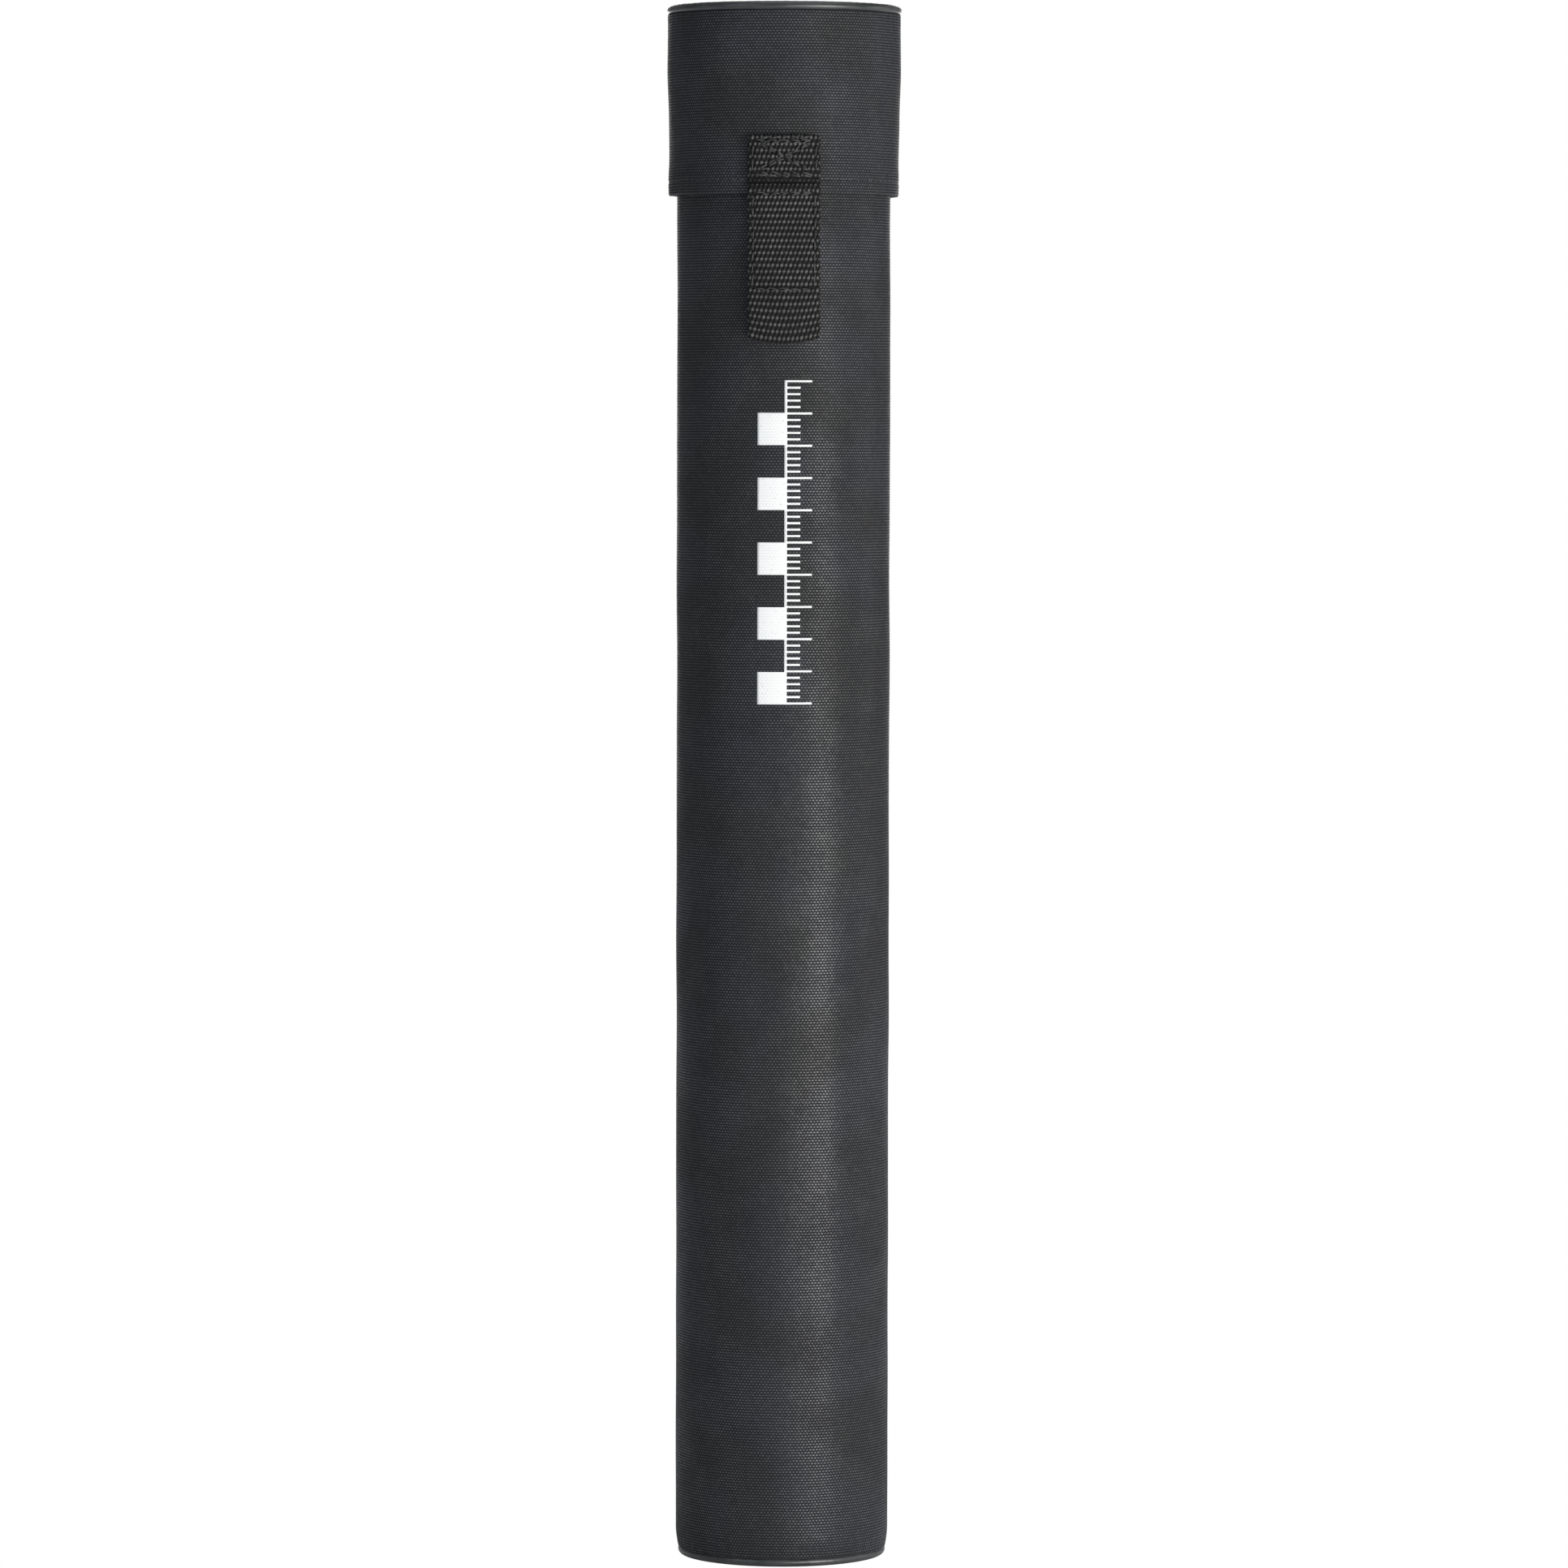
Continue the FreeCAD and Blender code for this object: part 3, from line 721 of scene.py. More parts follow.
def sewn_slope(x0, z0, x1, z1):
    length = math.hypot(x1 - x0, z1 - z0)

    def groove(u, z):
        away = np.abs((u - x0) * (z1 - z0) - (z - z0) * (x1 - x0)) / length
        return (1 - ease(away, 0.3, 0.85)) * (z > min(z0, z1)) * (z < max(z0, z1))
    return groove

# %% [markdown]
# The strap is two meshes. The upper one is sewn to the cap and hangs from it, and the real
# strap bends in the gap between its sewn box and the hook tape. The lower one carries on
# from it, and the real strap bends again where the pull tab begins. The cut between them
# is on the stiff stretch between those bends, and it doesn't show.

# %% The strap's path
def over_hem(z, foot_r, top_r):
    """The radius of a layer of the strap, which steps out to pass over the hem."""
    return np.interp(z, [458, 467], [foot_r, top_r])


_, anchor_foot, anchor_top = measure("strap_anchor")
_, panel_foot, panel_top = measure("strap_panel")
tab_foot = measure("pull_tab")[1]
layer, clear = 0.7, 0.08
hook_r, hem_r, hook_thick = 38.35, 39.55, 1.3
low_r, high_r = hook_r + hook_thick + layer, hem_r + hook_thick + layer
tab_back_r = hook_r + layer + 0.02
under = [(float(skirt(z)) + clear + layer, z)
         for z in np.linspace(475.9, anchor_top - 1.5, 8)]
over = [(float(skirt(z)) + clear + 3 * layer, z)
        for z in np.linspace(anchor_top - 1.6, anchor_foot + 1.2, 8)]
top_fold = fold(under[-1][0] + layer, anchor_top - 1.45, layer, True)[1:-1]
tab_fold = fold((low_r + tab_back_r) / 2, tab_foot + 2.75, (low_r - tab_back_r) / 2,
                False)[::-1][1:-1]
panel = [(40.2, 472.9), (40.2, 471.5), (high_r, panel_top - 0.2), (high_r, 467.2),
         (low_r + 0.55, 462.4), (low_r, 458.0), (low_r, 440), (low_r, tab_foot + 3)]
back = [(tab_back_r, z) for z in (tab_foot + 4, tab_foot + 9, 433.0)]
s, path = even_path(under + top_fold + over + panel + tab_fold + back)
gap = np.abs(np.mod(s / ROW, 2) - 1.5)
cut = int(np.argmin(gap + 9 * (np.abs(path[:, 1] - 461) > 2.4) + 9 * (s < s[-1] / 3)))
print("strap path", round(s[-1], 1), "mm, cut at height", round(path[cut, 1], 1))

# %% The two strap meshes
SLOPE_HALF = 8.3
box_half, box_low, box_high = 10.7, anchor_foot + 0.9, anchor_top - 1.9
patch_half, patch_low, patch_high = 10.5, panel_foot + 1.6, panel_top - 1.9
patch_sides = [sewn_column(patch_half, patch_low, patch_high),
               sewn_column(-patch_half, patch_low, patch_high)]


def tab_bow(u, z):
    return -2.0 * (1 - (u / WEB_HALF) ** 2) * (1 - ease(z, 414, 440))


upper = webbing("strap_upper", ["strap_anchor"], path, s, slice(0, cut + 5),
                [sewn_row(box_low, box_half), sewn_row(box_high, box_half),
                 sewn_column(box_half, box_low, box_high),
                 sewn_column(-box_half, box_low, box_high),
                 sewn_slope(-SLOPE_HALF, box_low + 1.5, SLOPE_HALF, box_high - 1.5),
                 sewn_slope(SLOPE_HALF, box_low + 1.5, -SLOPE_HALF, box_high - 1.5),
                 sewn_row(patch_high, patch_half), *patch_sides], tuck=4)
lower = webbing("strap_lower", ["strap_panel", "pull_tab"], path, s,
                slice(cut, len(s)), [sewn_row(patch_low, patch_half), *patch_sides],
                tab_bow)

# %% Material: webbing
webbing_material, tree, skin = new_material("black_webbing")
crown = put(tree, "ShaderNodeAttribute", {"attribute_name": "crown"}).outputs["Fac"]
worn = use_group(tree, handling, Patch_Scale=120.0, Speck_Scale=1100.0)
# The crown value paints the knuckles light and the gaps, the sewing and the hem crease
# dark: painted light and shade.
share = maths(tree, "MULTIPLY", between(tree, crown, 0.2, 1.0),
              between(tree, worn["Patches"], 0, 1, 0.7, 1.0))
clean = mix(tree, share, (0.0068, 0.0068, 0.0070), (0.092, 0.092, 0.090))
stretch = put(tree, "ShaderNodeMapping", Vector=own_place(tree), Scale=(1.0, 1.0, 0.28))
strands = grain(tree, stretch.outputs[0], 4200.0, 2.0)
feed(skin, Normal=bumps(tree, strands, 0.5, 0.05),
     Base_Color=dusted(tree, clean, worn, 0.08, (0.3, 0.29, 0.27)),
     Roughness=between(tree, share, 0, 1, 0.8, 0.5),
     Coat_Weight=between(tree, share, 0.3, 1, 0, 0.4), Coat_Roughness=0.4,
     Specular_IOR_Level=0.12)
for piece in (upper, lower):
    dress(piece, webbing_material)
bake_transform(upper)
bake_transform(lower)

# %% [markdown]
# ## Thread
#
# Sewing thread is two plies twisted together. Each stitch is a short tube that rises out
# of one needle hole, crosses the cloth and sinks into the next, and its section is not
# round but two-lobed, turning along the stitch, which gives the twist. All stitches of a
# seam are one mesh. Small random turns keep a row from looking printed.

# %% Stitches
RINGS, SIDES = 11, 8  # of each stitch's tube


def stitches(name, body, replaced, starts, ends, outwards, radius=0.2, rise=0.2,
             sway=0.0, loose=0.07):
    """One mesh of twisted stitches, each between two needle holes."""
    starts, ends, outwards = (np.asarray(a, float) for a in (starts, ends, outwards))
    jitter = chance.normal(0, loose, starts.shape)
    starts, ends = starts + jitter, ends + np.roll(jitter, 1, axis=0)
    outwards = outwards / np.linalg.norm(outwards, axis=1)[:, None]
    run = ends - starts
    along = run / np.linalg.norm(run, axis=1)[:, None]
    side = np.cross(outwards, along)
    t = np.linspace(0.03, 0.97, RINGS)
    turn_of = np.linspace(0, 2 * math.pi, SIDES, endpoint=False)
    arch = rise * np.sin(math.pi * t) ** 0.55 - 0.16
    curl = sway * chance.normal(0.8, 0.4, (len(starts), 1)) * t ** 3
    centre = (starts[:, None] + run[:, None] * t[None, :, None]
              + outwards[:, None] * arch[None, :, None]
              + side[:, None] * curl[:, :, None])
    lobes = 1 + 0.2 * np.cos(2 * (turn_of[None, :] - t[:, None] * 7.5))
    size = radius * lobes * (0.55 + 0.45 * np.sin(math.pi * t[:, None]) ** 0.4)
    points = (centre[:, :, None]
              + side[:, None, None] * (size * np.cos(turn_of))[None, :, :, None]
              + outwards[:, None, None] * (size * np.sin(turn_of))[None, :, :, None])
    faces = many(ring_faces(RINGS, SIDES, False), RINGS * SIDES, len(starts))
    return new_piece(name, points, faces, body, "dark_thread", replaced)


def needle_line(x0, z0, x1, z1, face, pitch=3.1, slant=0.0, back=False):
    """Start, end and outward direction of each stitch on a line over a round face."""
    count = max(1, round(math.hypot(x1 - x0, z1 - z0) / pitch))
    share = np.linspace(0, 1, count + 1)
    x, z = x0 + (x1 - x0) * share, z0 + (z1 - z0) * share
    holes = front_points(x, face(z), z) * [1, -1 if back else 1, 1]
    inset = 0.10 * (holes[1:] - holes[:-1])
    tilt = np.array([0, 0, slant / 2])
    middle = (holes[1:] + holes[:-1]) / 2
    return holes[:-1] + inset - tilt, holes[1:] - inset + tilt, middle * [1, 1, 0]


def sew(name, body, replaced, lines, **sizes):
    parts = [np.concatenate(p) for p in zip(*lines)]
    return stitches(name, body, replaced, *parts, **sizes)


THREAD_DEEP = 0.12  # how far thread is pulled into the webbing


def anchor_face(z):
    return skirt(z) + clear + 4 * layer - THREAD_DEEP


def panel_face(z):
    return over_hem(z, low_r + layer, high_r + layer) - THREAD_DEEP


def sewn_box(half, low, high, face, pitch, second_pass):
    """Four sides of a sewn box; the second pass is slanted and half a stitch along."""
    sides = [(-half + 0.9, z, half - 0.9, z, 0.0) for z in (low, high)]
    sides += [(x, low + 1.5, x, high - 1.5, 0.0) for x in (-half, half)]
    sides += [(-half + 2.6, z, half - 1.6, z, slant) for z, slant in second_pass]
    return [needle_line(*side, face, pitch, slant) for *side, slant in sides]


def sewn_cross(half, low, high, face):
    """Two crossing slopes inside a sewn box, each sewn out and back."""
    return [needle_line(x, low + 1.5 + shift, -x, high - 1.5 + shift, face, 3.4, shift)
            for x in (-half, half) for shift in (0, 0.7)]


box_lines = sewn_box(box_half, box_low, box_high, anchor_face, 3.8,
                     [(box_high + 0.9, 1.1), (box_high - 0.8, 1.2),
                      (box_low + 0.8, -0.7)])
box_lines += sewn_cross(SLOPE_HALF, box_low, box_high, anchor_face)
patch_lines = sewn_box(patch_half, patch_low, patch_high, panel_face, 3.5,
                       [(patch_low - 0.6, 0.9), (patch_high - 0.6, 0.8)])
SEAM_X = 2.9  # the back seams run beside the lap's edge
tube_line = needle_line(SEAM_X, 12, SEAM_X, 510, lambda z: tube_r + 0.42, back=True)
cap_line = needle_line(SEAM_X, 476.1, SEAM_X, 527.5, lambda z: skirt(z) + 0.5,
                       back=True)
threads = [
    sew("strap_box_stitches", "cap", ["strap_box_thread"], box_lines,
        radius=0.26, rise=0.36, sway=-0.5, loose=0.16),
    sew("hook_patch_stitches", "strap", ["hook_patch_thread"], patch_lines,
        radius=0.24, rise=0.3, sway=-0.4, loose=0.14),
    sew("tube_seam_stitches", "case_body", ["tube_seam_thread"], [tube_line], rise=0.28),
    sew("cap_seam_stitches", "cap", ["cap_seam_thread"], [cap_line], rise=0.28)]

hem_face = float(skirt(HEM_ROW)) - 0.1
half_gap = math.asin(12.9 / hem_face)  # the hem's row stops beside the strap
holes = np.linspace(half_gap, 2 * math.pi - half_gap, 73)
ring = round_points(hem_face, holes, HEM_ROW + 0.12 * np.sin(holes * 3 + 0.7))
inset = 0.13 * (ring[1:] - ring[:-1])
threads.append(stitches("cap_hem_stitches", "cap", ["cap_hem_thread"], ring[:-1] + inset,
                        ring[1:] - inset, (ring[1:] + ring[:-1]) * [1, 1, 0]))

# %% Material: bonded thread
bonded = {"rough": (0.55, 0.4), "patch": 400.0, "Specular_IOR_Level": 0.3}
heavy_thread = two_tone("heavy_thread", (0.020, 0.020, 0.020), (0.066, 0.066, 0.065),
                        **bonded)
fine_thread = two_tone("fine_thread", (0.014, 0.014, 0.016), (0.050, 0.051, 0.057),
                       **bonded)
for piece in threads[:2]:
    dress(piece, heavy_thread)
for piece in threads[2:]:
    dress(piece, fine_thread)

# %% [markdown]
# ## The printed scale
#
# The front of the tube carries a large white screen print. Here it is a plain scale bar:
# a spine with blocks on one side and ticks on the other, and no lettering. Ink is a thin
# film that follows the cloth, so each bar is a fine grid laid on the tube's curve. The
# weave presses through the ink, and a few pinholes show where it missed the gaps.

# %% Printed scale
print_low, print_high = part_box("printed_scale")
z_low, z_high = print_low.z / MM, print_high.z / MM
x_low, x_high = print_low.x / MM, print_high.x / MM
line, tick_line, blocks, ticks = 0.9, 0.7, 10, 50
spine_x = (x_low + x_high) / 2 + 0.25
block = (z_high - z_low) / blocks
tick_gap = (z_high - z_low - tick_line) / ticks
short, long = spine_x + line / 2 + 4.5, spine_x + line / 2 + 8.5


def inked(x, z):
    """Whether the print covers a place: its spine, its blocks or its ticks."""
    spine = np.abs(x - spine_x) < line / 2
    blocked = (x < spine_x) & (np.floor((z - z_low) / block) % 2 == 0)
    number = np.floor((z - z_low) / tick_gap + 1e-6)
    on_tick = (z - z_low) - number * tick_gap < tick_line
    reach = np.where(number % 5 == 0, long, short)
    return spine | blocked | ((x > spine_x) & (x < reach) & on_tick)


xs = np.unique(np.round([*np.linspace(x_low, spine_x - line / 2, 12), spine_x + line / 2,
                         *np.linspace(spine_x + line / 2, short, 5),
                         *np.linspace(short, long, 5)], 4))
tick_lows = z_low + np.arange(ticks + 1) * tick_gap
zs = np.unique(np.round([*tick_lows, *(tick_lows + tick_line),
                         *(z_low + np.arange(1, blocks) * block)], 4))
zs = zs[np.concatenate([[True], np.diff(zs) > 1e-3])]
X, Z = np.meshgrid(xs, zs)
covered = inked(*np.meshgrid((xs[1:] + xs[:-1]) / 2, (zs[1:] + zs[:-1]) / 2))
covered = np.pad(covered, 1)
sides = [front_points(X, tube_r + d, Z).reshape(-1, 3) for d in (0.07, -0.02)]
across, below = len(xs), len(xs) * len(zs)
faces = []
for i, j in np.argwhere(covered):
    a = (i - 1) * across + j - 1
    b, c, d = a + 1, a + across + 1, a + across
    faces += [[a, b, c, d], [d + below, c + below, b + below, a + below]]
    for up, right, p, q in ((-1, 0, a, b), (1, 0, c, d), (0, 1, b, c), (0, -1, d, a)):
        if not covered[i + up, j + right]:
            faces.append([p, p + below, q + below, q])
scale_print = new_piece("scale_print", np.concatenate(sides), faces, "case_body",
                        "white_ink", ["printed_scale"])

# %% Material: white ink over weave
ink, tree, skin = new_material("white_ink")
yarn = use_group(tree, weave, Radius=tube_r)
worn = use_group(tree, handling, Patch_Scale=70.0, Speck_Scale=1600.0)
# The ink is a little darker in the weave's gaps: painted shade. The dark pinholes mixed in
# below are the ink's own misses.
inked_weave = mix(tree, yarn["Crown"], (0.68, 0.68, 0.69), (0.80, 0.80, 0.80))
missed = maths(tree, "MULTIPLY", maths(tree, "SUBTRACT", 1.0, yarn["Crown"]),
               maths(tree, "MULTIPLY", worn["Specks"], 0.55))
feed(skin, Base_Color=mix(tree, missed, inked_weave, (0.08, 0.08, 0.085)),
     Roughness=between(tree, worn["Patches"], 0, 1, 0.52, 0.62),
     Normal=bumps(tree, yarn["Height"], 0.4, 0.09))
dress(scale_print, ink)

# %% [markdown]
# ## Hook and loop
#
# When the strap is peeled back, both halves of the closure show. The hook half is a tape
# with rows of tiny bent plastic hooks, and the loop half is a brushed pile. Each hook is
# a tapered tube that bends over, and each loop a low arch at a random turn. There are
# fewer than on a real tape, each at a size that still reads as a hook or a loop, and all
# those of a tape are one mesh.

# %% Tape and bristle helpers
def tape_strip(width, outer_path, thick):
    """A plain thin closed strip; outer_path is its outside face from top to foot."""
    s, path = even_path(outer_path, 1.0)
    u = np.linspace(-width / 2, width / 2, 15)
    deep = np.concatenate([0 * u, 0 * u + thick])
    points = front_points(np.concatenate([u, u[::-1]]),
                          path[:, 0][:, None] - deep[None, :], path[:, 1][:, None])
    return points.reshape(-1, 3), ring_faces(*points.shape[:2], False)


def bristles(lines, radii, start, sides):
    """Small tubes along many short lines of points, all with the same count."""
    lines = np.asarray(lines, float)
    count, steps, _ = lines.shape
    ahead = np.gradient(lines, axis=1)
    ahead /= np.linalg.norm(ahead, axis=2)[..., None]
    guide = np.array([0.31, 0.17, 0.93])
    side = np.cross(ahead, guide)
    side /= np.linalg.norm(side, axis=2)[..., None]
    other = np.cross(ahead, side)
    turn_of = np.linspace(0, 2 * math.pi, sides, endpoint=False)
    ring = (side[:, :, None] * np.cos(turn_of)[None, None, :, None]
            + other[:, :, None] * np.sin(turn_of)[None, None, :, None])
    points = lines[:, :, None] + ring * np.asarray(radii)[None, :, None, None]
    faces = many(ring_faces(steps, sides, False), steps * sides, count, start)
    return points.reshape(-1, 3), faces


def bristled(name, tape, lines, radii, sides, body, slot, node):
    """A tape and all its bristles as one piece."""
    points, faces = tape
    more_points, more_faces = bristles(lines, radii, len(points), sides)
    return new_piece(name, np.concatenate([points, more_points]), faces + more_faces,
                     body, slot, [node])

# %% Hook tape
half, foot, top = measure("hook_patch")
foot_r, top_r = hook_r + hook_thick, hem_r + hook_thick
tape = tape_strip(2 * half, [(top_r, top), (top_r, 467), (foot_r, 458), (foot_r, foot)],
                  0.5)
bends = np.linspace(0, 1, 7) * math.pi * 0.62
lines = []
for row_number, z in enumerate(np.arange(foot + 1.6, top - 1.2, 1.25)):
    base = over_hem(z, hook_r, hem_r) + 0.9
    shift, lean = (0.65, 1) if row_number % 2 else (0, -1)
    for x in np.arange(-half + 1.4, half - 1.2, 1.3) + shift:
        lines.append(front_points(x, base - 0.74 * np.sin(bends),
                                  z + lean * 0.42 * (1 - np.cos(bends))))
hook_tape = bristled("hook_tape", tape, lines, [0.17, 0.15, 0.13, 0.12, 0.12, 0.13, 0.09],
                     5, "strap", "hook_plastic", "hook_patch")

# %% Loop patch
LOOPS = 1700
half, foot, top = measure("loop_patch")
tape = tape_strip(2 * half, [(tube_r + 0.62, top), (tube_r + 0.62, foot)], 0.6)
arcs = np.linspace(0, math.pi, 6)
lines = []
for _ in range(LOOPS):
    x = chance.uniform(-half + 0.8, half - 0.8)
    z = chance.uniform(foot + 0.8, top - 0.8)
    turn_by, wide, tall = chance.uniform(0, math.pi), *chance.uniform([0.4, 0.45],
                                                                     [0.75, 0.8])
    reach = wide * np.cos(arcs)
    lines.append(front_points(x + reach * math.cos(turn_by),
                              tube_r + 0.55 + tall * np.sin(arcs),
                              z + reach * math.sin(turn_by)))
loop_pile = bristled("loop_pile", tape, lines, [0.08] * 6, 4, "case_body", "loop_pile",
                     "loop_patch")

# %% Materials: hook plastic and loop pile
dress(hook_tape, two_tone("hook_plastic", (0.010, 0.010, 0.010), (0.025, 0.025, 0.026),
                          (0.35, 0.5), 175.0, (1400.0, 0.5, 0.03)))
dress(loop_pile, two_tone("loop_pile", (0.006, 0.006, 0.007), (0.034, 0.034, 0.036),
                          (0.7, 0.9), 112.5, (900.0, 0.5, 0.3), Sheen_Weight=0.3))

# %% [markdown]
# ## Inside the tube and the cap
#
# With the cap off, the mouth shows a ribbed tape folded over the tube's edge, and a dull
# lining inside. The tape's ribs are real: its outline is turned in steps fine enough to
# carry a rib every 0.8 mm. The linings are turned like the outer cloth, with softer
# waves, because they are only spot-glued.

# %% Mouth binding
bind_r, bind_low, bind_top = measure("mouth_binding")
bore = measure("tube_lining")[0] - 0.8  # the lining's inside
outline = [(tube_r + 0.02, bind_low), (bind_r, bind_low + 0.15), (bind_r + 0.02, 517),
           (bind_r, 520), (bind_r, bind_top - 0.5), (bind_r - 0.3, bind_top - 0.08),
           (bind_r - 1.2, bind_top), (bore + 0.9, bind_top),
           (bore - 0.05, bind_top - 0.08), (bore - 0.35, bind_top - 0.5),
           (bore - 0.35, 519), (bore - 0.34, bind_low + 0.15), (bore - 0.02, bind_low),
           (bore - 0.02, 521), (bore + 0.5, 522.7), (tube_r - 0.5, 522.7),
           (tube_r + 0.02, 522)]
RIBS = 280
angles = np.linspace(-math.pi, math.pi, 4 * RIBS, endpoint=False)
binding = ring_piece(
    "mouth_tape", turn(outline, angles, lambda a, z: 0.045 * np.sin(a * RIBS)),
    "case_body", "binding_tape", ["mouth_binding"])
dress(binding, two_tone("binding_tape", (0.008, 0.008, 0.009), (0.028, 0.028, 0.03),
                        (0.55, 0.7), 112.5, (900.0, 0.5, 0.05), Sheen_Weight=0.1))

# %% Linings
def turned_lining(name, body, node, outer_line, thick, seed):
    """A thin closed shell of lining; outer_line runs from foot to top."""
    inner_line = [(r - thick, z) for r, z in outer_line]
    points = turn(outer_line + inner_line[::-1],
                  np.linspace(-math.pi, math.pi, 160, endpoint=False),
                  lambda a, z: slow_waves(a, z, 0.06, seed) - 0.06)
    return ring_piece(name, points, body, "lining_cloth", [node])


lining_r, foot, top = measure("tube_lining")
tube_lining = turned_lining(
    "tube_lining_cloth", "case_body", "tube_lining",
    [(lining_r, z) for z in np.linspace(foot, top, 120)], 0.78, 21)
skirt_line = [(37.62 + 0.68, z) for z in np.linspace(477.3, 505.5, 16)]
cap_lining = turned_lining(
    "cap_lining_cloth", "cap", "cap_lining",
    [*skirt_line, (38.2, 508.4), (38.0, 510.2), (38.0, 514), (38.0, 518),
     (38.0, measure("cap_lining")[2])], 0.34, 5)
cap_top_lining = disc_cloth("cap_end_lining", "cap", "cap_top_lining", False, 0.15,
                            "lining_cloth", pucker=0.05, shy=0.2)
floor_lining = disc_cloth("floor_lining", "case_body", "base_lining", True, 0.15,
                          "lining_cloth", pucker=0.05, shy=0.2)

# %% Material: lining cloth
def lining_finish(name, flat):
    """A finer weave of dull grey-black yarn, with a little fluff."""
    material, tree, skin = new_material(name)
    yarn = use_group(tree, weave, Radius=33.0, Flat=flat, Column_Pitch=0.8,
                     Row_Pitch=0.62, Wander=0.14)
    worn = use_group(tree, handling, Patch_Scale=45.0, Speck_Scale=500.0)
    # Lighter yarn crowns and darker gaps are painted light and shade, as on the outer
    # cloth.
    clean = mix(tree, yarn["Crown"], (0.016, 0.016, 0.018), (0.060, 0.060, 0.066))
    feed(skin, Base_Color=dusted(tree, clean, worn, 0.12, (0.4, 0.39, 0.37)),
         Roughness=between(tree, worn["Patches"], 0, 1, 0.75, 0.9),
         Normal=bumps(tree, yarn["Height"], 0.6, 0.1), Sheen_Weight=0.15)
    return material


round_lining, flat_lining = lining_finish("lining_round", 0.0), lining_finish(
    "lining_flat", 1.0)
for piece, finish in ((tube_lining, round_lining), (cap_lining, round_lining),
                      (cap_top_lining, flat_lining), (floor_lining, flat_lining)):
    dress(piece, finish)

# %% [markdown]
# ## Foam pads
#
# A disc of foam lies behind each end's lining, so that what slides in the tube lands
# softly. Foam cut with a blade bulges a little in the middle once it is pressed in, and
# its edge is not crisp. Its skin is open cells: a bump from small round cells does that.

# %% Foam pads
base_pad = disc_cloth("floor_foam", "case_body", "base_foam", True, 0.1, "grey_foam",
                      pucker=0.0, slim=0.15)
cap_pad = disc_cloth("cap_foam_pad", "cap", "cap_foam", False, 0.1, "grey_foam",
                     pucker=0.0, slim=0.15)
foam, tree, skin = new_material("grey_foam")
cells = put(tree, "ShaderNodeTexVoronoi", Vector=own_place(tree),
            Scale=1100.0).outputs["Distance"]
worn = use_group(tree, handling, Patch_Scale=80.0, Speck_Scale=1200.0)
# The cells' hollows are coloured darker than their walls: painted shade in the pits.
wall = maths(tree, "MULTIPLY", between(tree, cells, 0.1, 0.6),
             between(tree, worn["Patches"], 0, 1, 0.75, 1.0))
feed(skin, Base_Color=mix(tree, wall, (0.035, 0.035, 0.037), (0.17, 0.17, 0.175)),
     Roughness=between(tree, worn["Specks"], 0, 1, 0.88, 0.97),
     Normal=bumps(tree, cells, 0.8, 0.35))
for pad in (base_pad, cap_pad):
    dress(pad, foam)

# %% [markdown]


# %% [markdown]
# ## Hidden structure
#
# The board tube, the end boards and the cords keep their CAD shapes, which are
# right as they are. They are closed in by cloth, and show only when the tube is cut open
# or taken apart, but each still gets its own finish: a spiral-wound board with its
# slanting paper edges, a flat grey board, and a cord.

# %% Wound board, flat board and cord
wound_board, tree, skin = new_material("wound_board")
split = put(tree, "ShaderNodeSeparateXYZ", _0=own_place(tree)).outputs
turns = maths(tree, "DIVIDE", angle_round(tree, split), 2 * math.pi)
climb = maths(tree, "SUBTRACT", maths(tree, "MULTIPLY", split[2], 9.0), turns)
paper_edge = between(tree, maths(tree, "FRACT", climb), 0.0, 0.012)
worn = use_group(tree, handling, Patch_Scale=60.0, Speck_Scale=1400.0)
paper = mix(tree, worn["Patches"], (0.30, 0.22, 0.14), (0.46, 0.36, 0.25))
feed(skin, Base_Color=mix(tree, paper_edge, (0.14, 0.10, 0.06), paper),
     Roughness=between(tree, worn["Specks"], 0, 1, 0.8, 0.92),
     Normal=bumps(tree, paper_edge, 0.6, 0.2))
stiff_board = two_tone("stiff_board", (0.20, 0.19, 0.17), (0.33, 0.31, 0.28), (0.8, 0.92),
                       100.0, (800.0, 0.5, 0.06))
piping_cord = two_tone("piping_cord", (0.5, 0.49, 0.46), (0.72, 0.71, 0.67), (0.7, 0.85),
                       225.0, (1800.0, 0.5, 0.1))
hidden = {"tube_core": wound_board, "cap_core": wound_board, "base_board": stiff_board,
          "cap_board": stiff_board, "base_piping_cord": piping_cord,
          "cap_piping_cord": piping_cord}
for node, finish in hidden.items():
    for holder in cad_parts[node].material_slots:
        holder.material = finish
print("hidden pieces:", len(hidden))

# %% [markdown]
# ## Floor and light
#
# A black object shows only what it reflects, so the lights matter most. A low, wide soft
# box to the right of the camera is seen in the round body as a long upright highlight,
# right of the middle, and a low strip carries it down to the foot. A small one further
# round lifts the right edge. A weak, bluish one high on the left keeps that side from
# going black, a large one behind lights the rims, and a wide panel overhead lights the
# top. The floor and the far background both look an even white to the camera, and the
# floor can be seen through from below, so that the base can be looked at too.

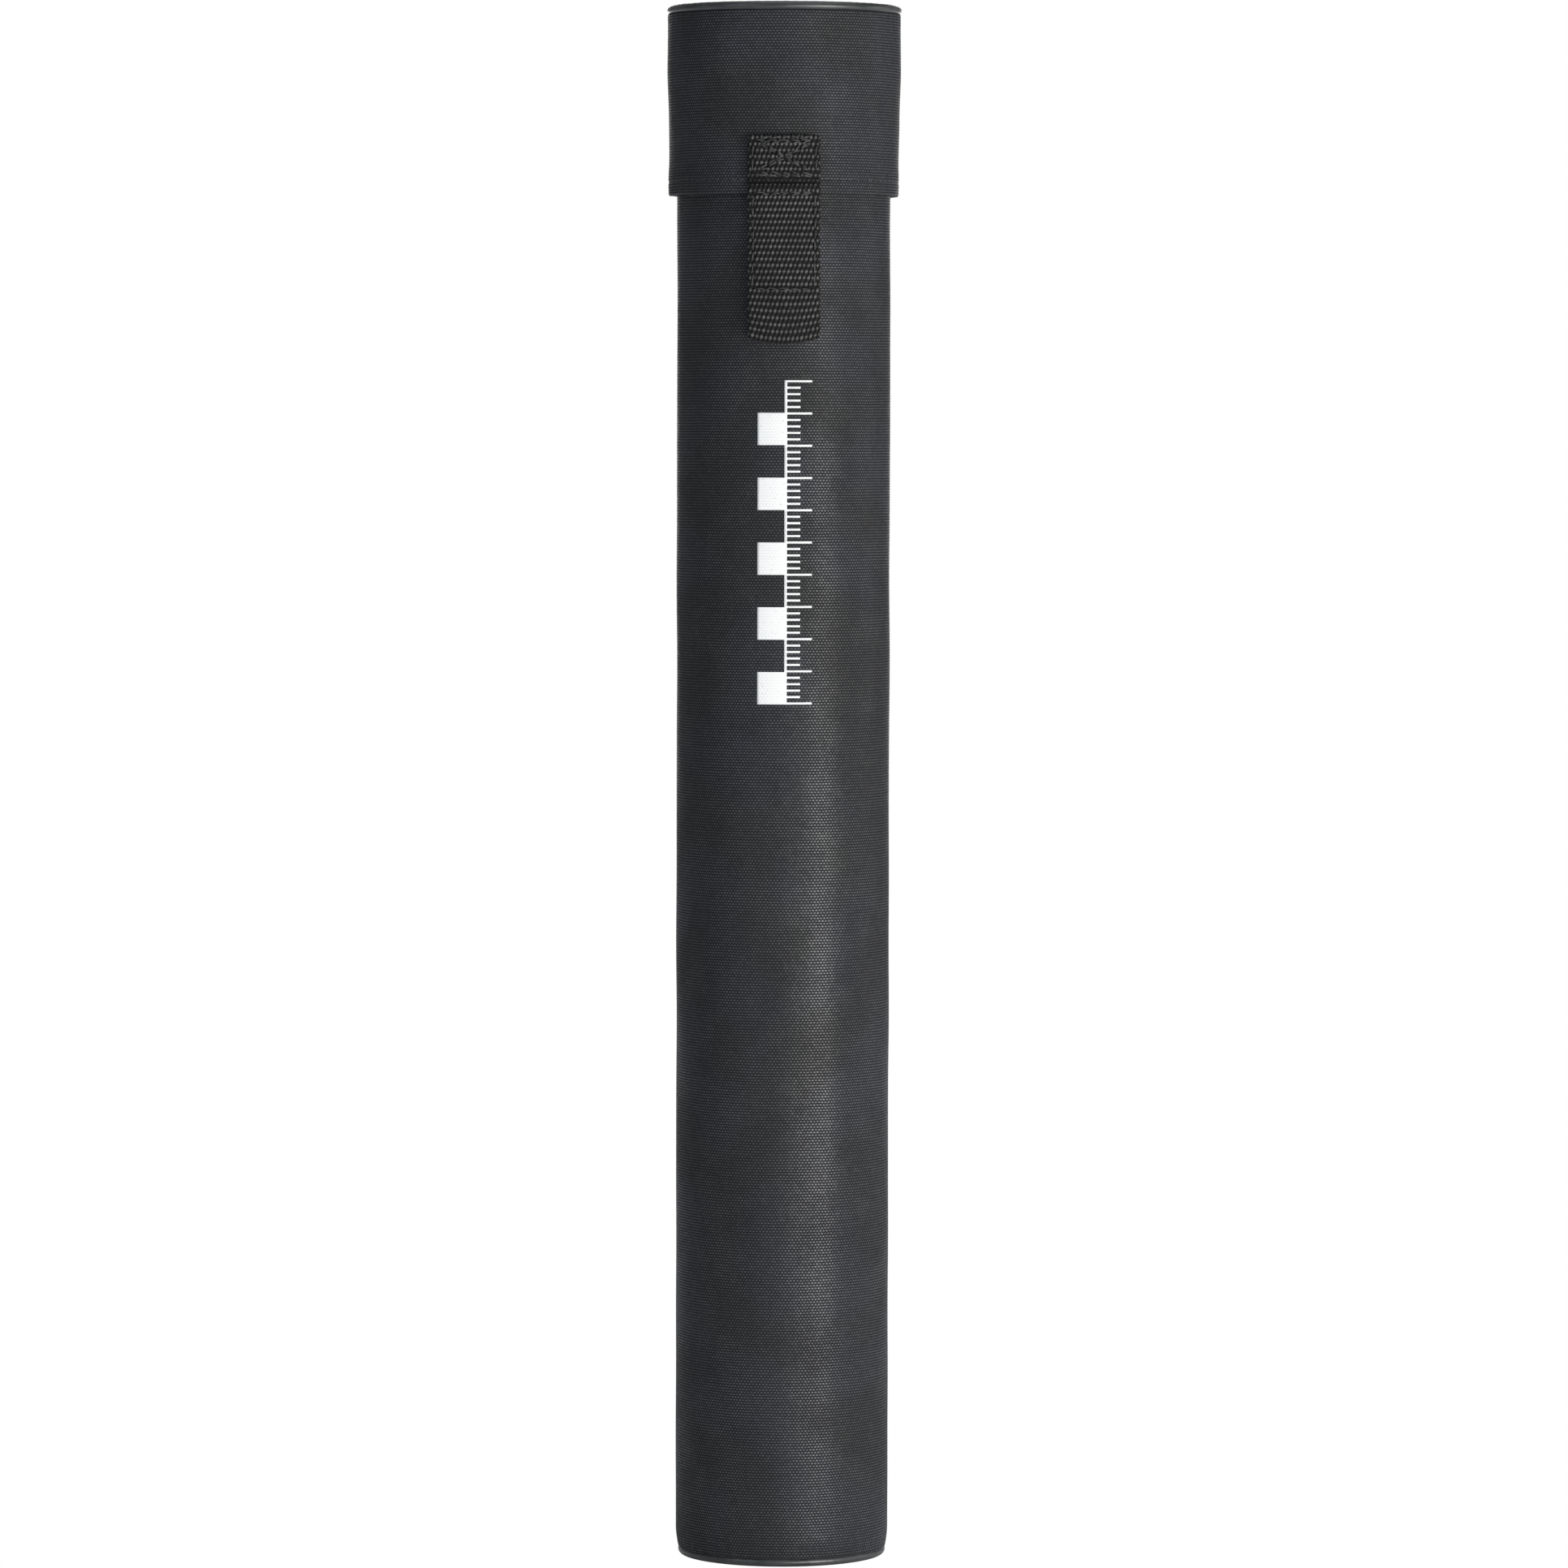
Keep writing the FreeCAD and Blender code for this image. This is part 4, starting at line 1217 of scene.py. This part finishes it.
# %% Floor
FLOOR_HALF = 4.0
corners = [(x, y, -0.05 * MM) for x in (-FLOOR_HALF, FLOOR_HALF)
           for y in (-FLOOR_HALF, FLOOR_HALF)]
floor_mesh = bpy.data.meshes.new("white_table")
floor_mesh.from_pydata(corners, [], [(0, 2, 3, 1)])
floor = bpy.data.objects.new("white_table", floor_mesh)
bpy.context.scene.collection.objects.link(floor)
white_paper, tree, skin = new_material("white_paper")
feed(skin, Base_Color=(0.9, 0.9, 0.9, 1), Roughness=0.9)
glow = put(tree, "ShaderNodeEmission", Color=(1, 1, 1, 1), Strength=1.0)
seen = put(tree, "ShaderNodeLightPath").outputs["Is Camera Ray"]
paper_top = put(tree, "ShaderNodeMixShader", _0=seen, _1=skin.outputs[0],
                _2=glow.outputs[0])
clear = put(tree, "ShaderNodeBsdfTransparent")
below = put(tree, "ShaderNodeNewGeometry").outputs["Backfacing"]
mixed = put(tree, "ShaderNodeMixShader", _0=below, _1=paper_top.outputs[0],
            _2=clear.outputs[0])
feed(tree.nodes["Material Output"], Surface=mixed.outputs[0])
dress(floor, white_paper)

# %% Lights
def soft_box(name, place, towards, wide, tall, power, colour=(1, 1, 1)):
    data = bpy.data.lights.new(name, "AREA")
    data.shape, data.size, data.size_y = "RECTANGLE", wide, tall
    data.energy, data.color = power, colour
    light = bpy.data.objects.new(name, data)
    bpy.context.scene.collection.objects.link(light)
    light.location = place
    aim = Vector(towards) - Vector(place)
    light.rotation_euler = aim.to_track_quat("-Z", "Y").to_euler()


def beside(azimuth, distance, height):
    """A place round the tube, counted in degrees to the right of the camera."""
    a = math.radians(azimuth)
    return (distance * math.sin(a), -distance * math.cos(a), height)


middle = (0, 0, 0.27)
soft_box("tall_key", beside(43, 1.5, 0.17), middle, 0.62, 0.34, 12.8, (1.0, 1.0, 0.97))
soft_box("low_bounce", beside(30, 1.2, 0.06), (0, 0, 0.06), 1.0, 0.1, 7.5,
         (1.0, 0.99, 0.94))
soft_box("right_edge", beside(100, 1.4, 0.4), middle, 0.5, 0.8, 2.3)
soft_box("left_fill", beside(-42, 2.0, 0.95), (0, 0, 0.42), 1.0, 0.8, 5.5,
         (0.80, 0.89, 1.0))
soft_box("back_soft", beside(180, 2.0, 0.7), middle, 1.3, 1.2, 26)
soft_box("overhead", (0.2, -0.3, 2.4), (0, 0, 0), 2.2, 2.2, 20, (0.82, 0.91, 1.0))
world = bpy.data.worlds.new("studio")
bpy.context.scene.world = world
world.use_nodes = True
sky = world.node_tree
seen = put(sky, "ShaderNodeLightPath").outputs["Is Camera Ray"]
SKY_LIGHT, SKY_LOOK = 0.22, 1.0
feed(sky.nodes["Background"], Color=(1, 1, 1, 1),
     Strength=between(sky, seen, 0.0, 1.0, SKY_LIGHT, SKY_LOOK))
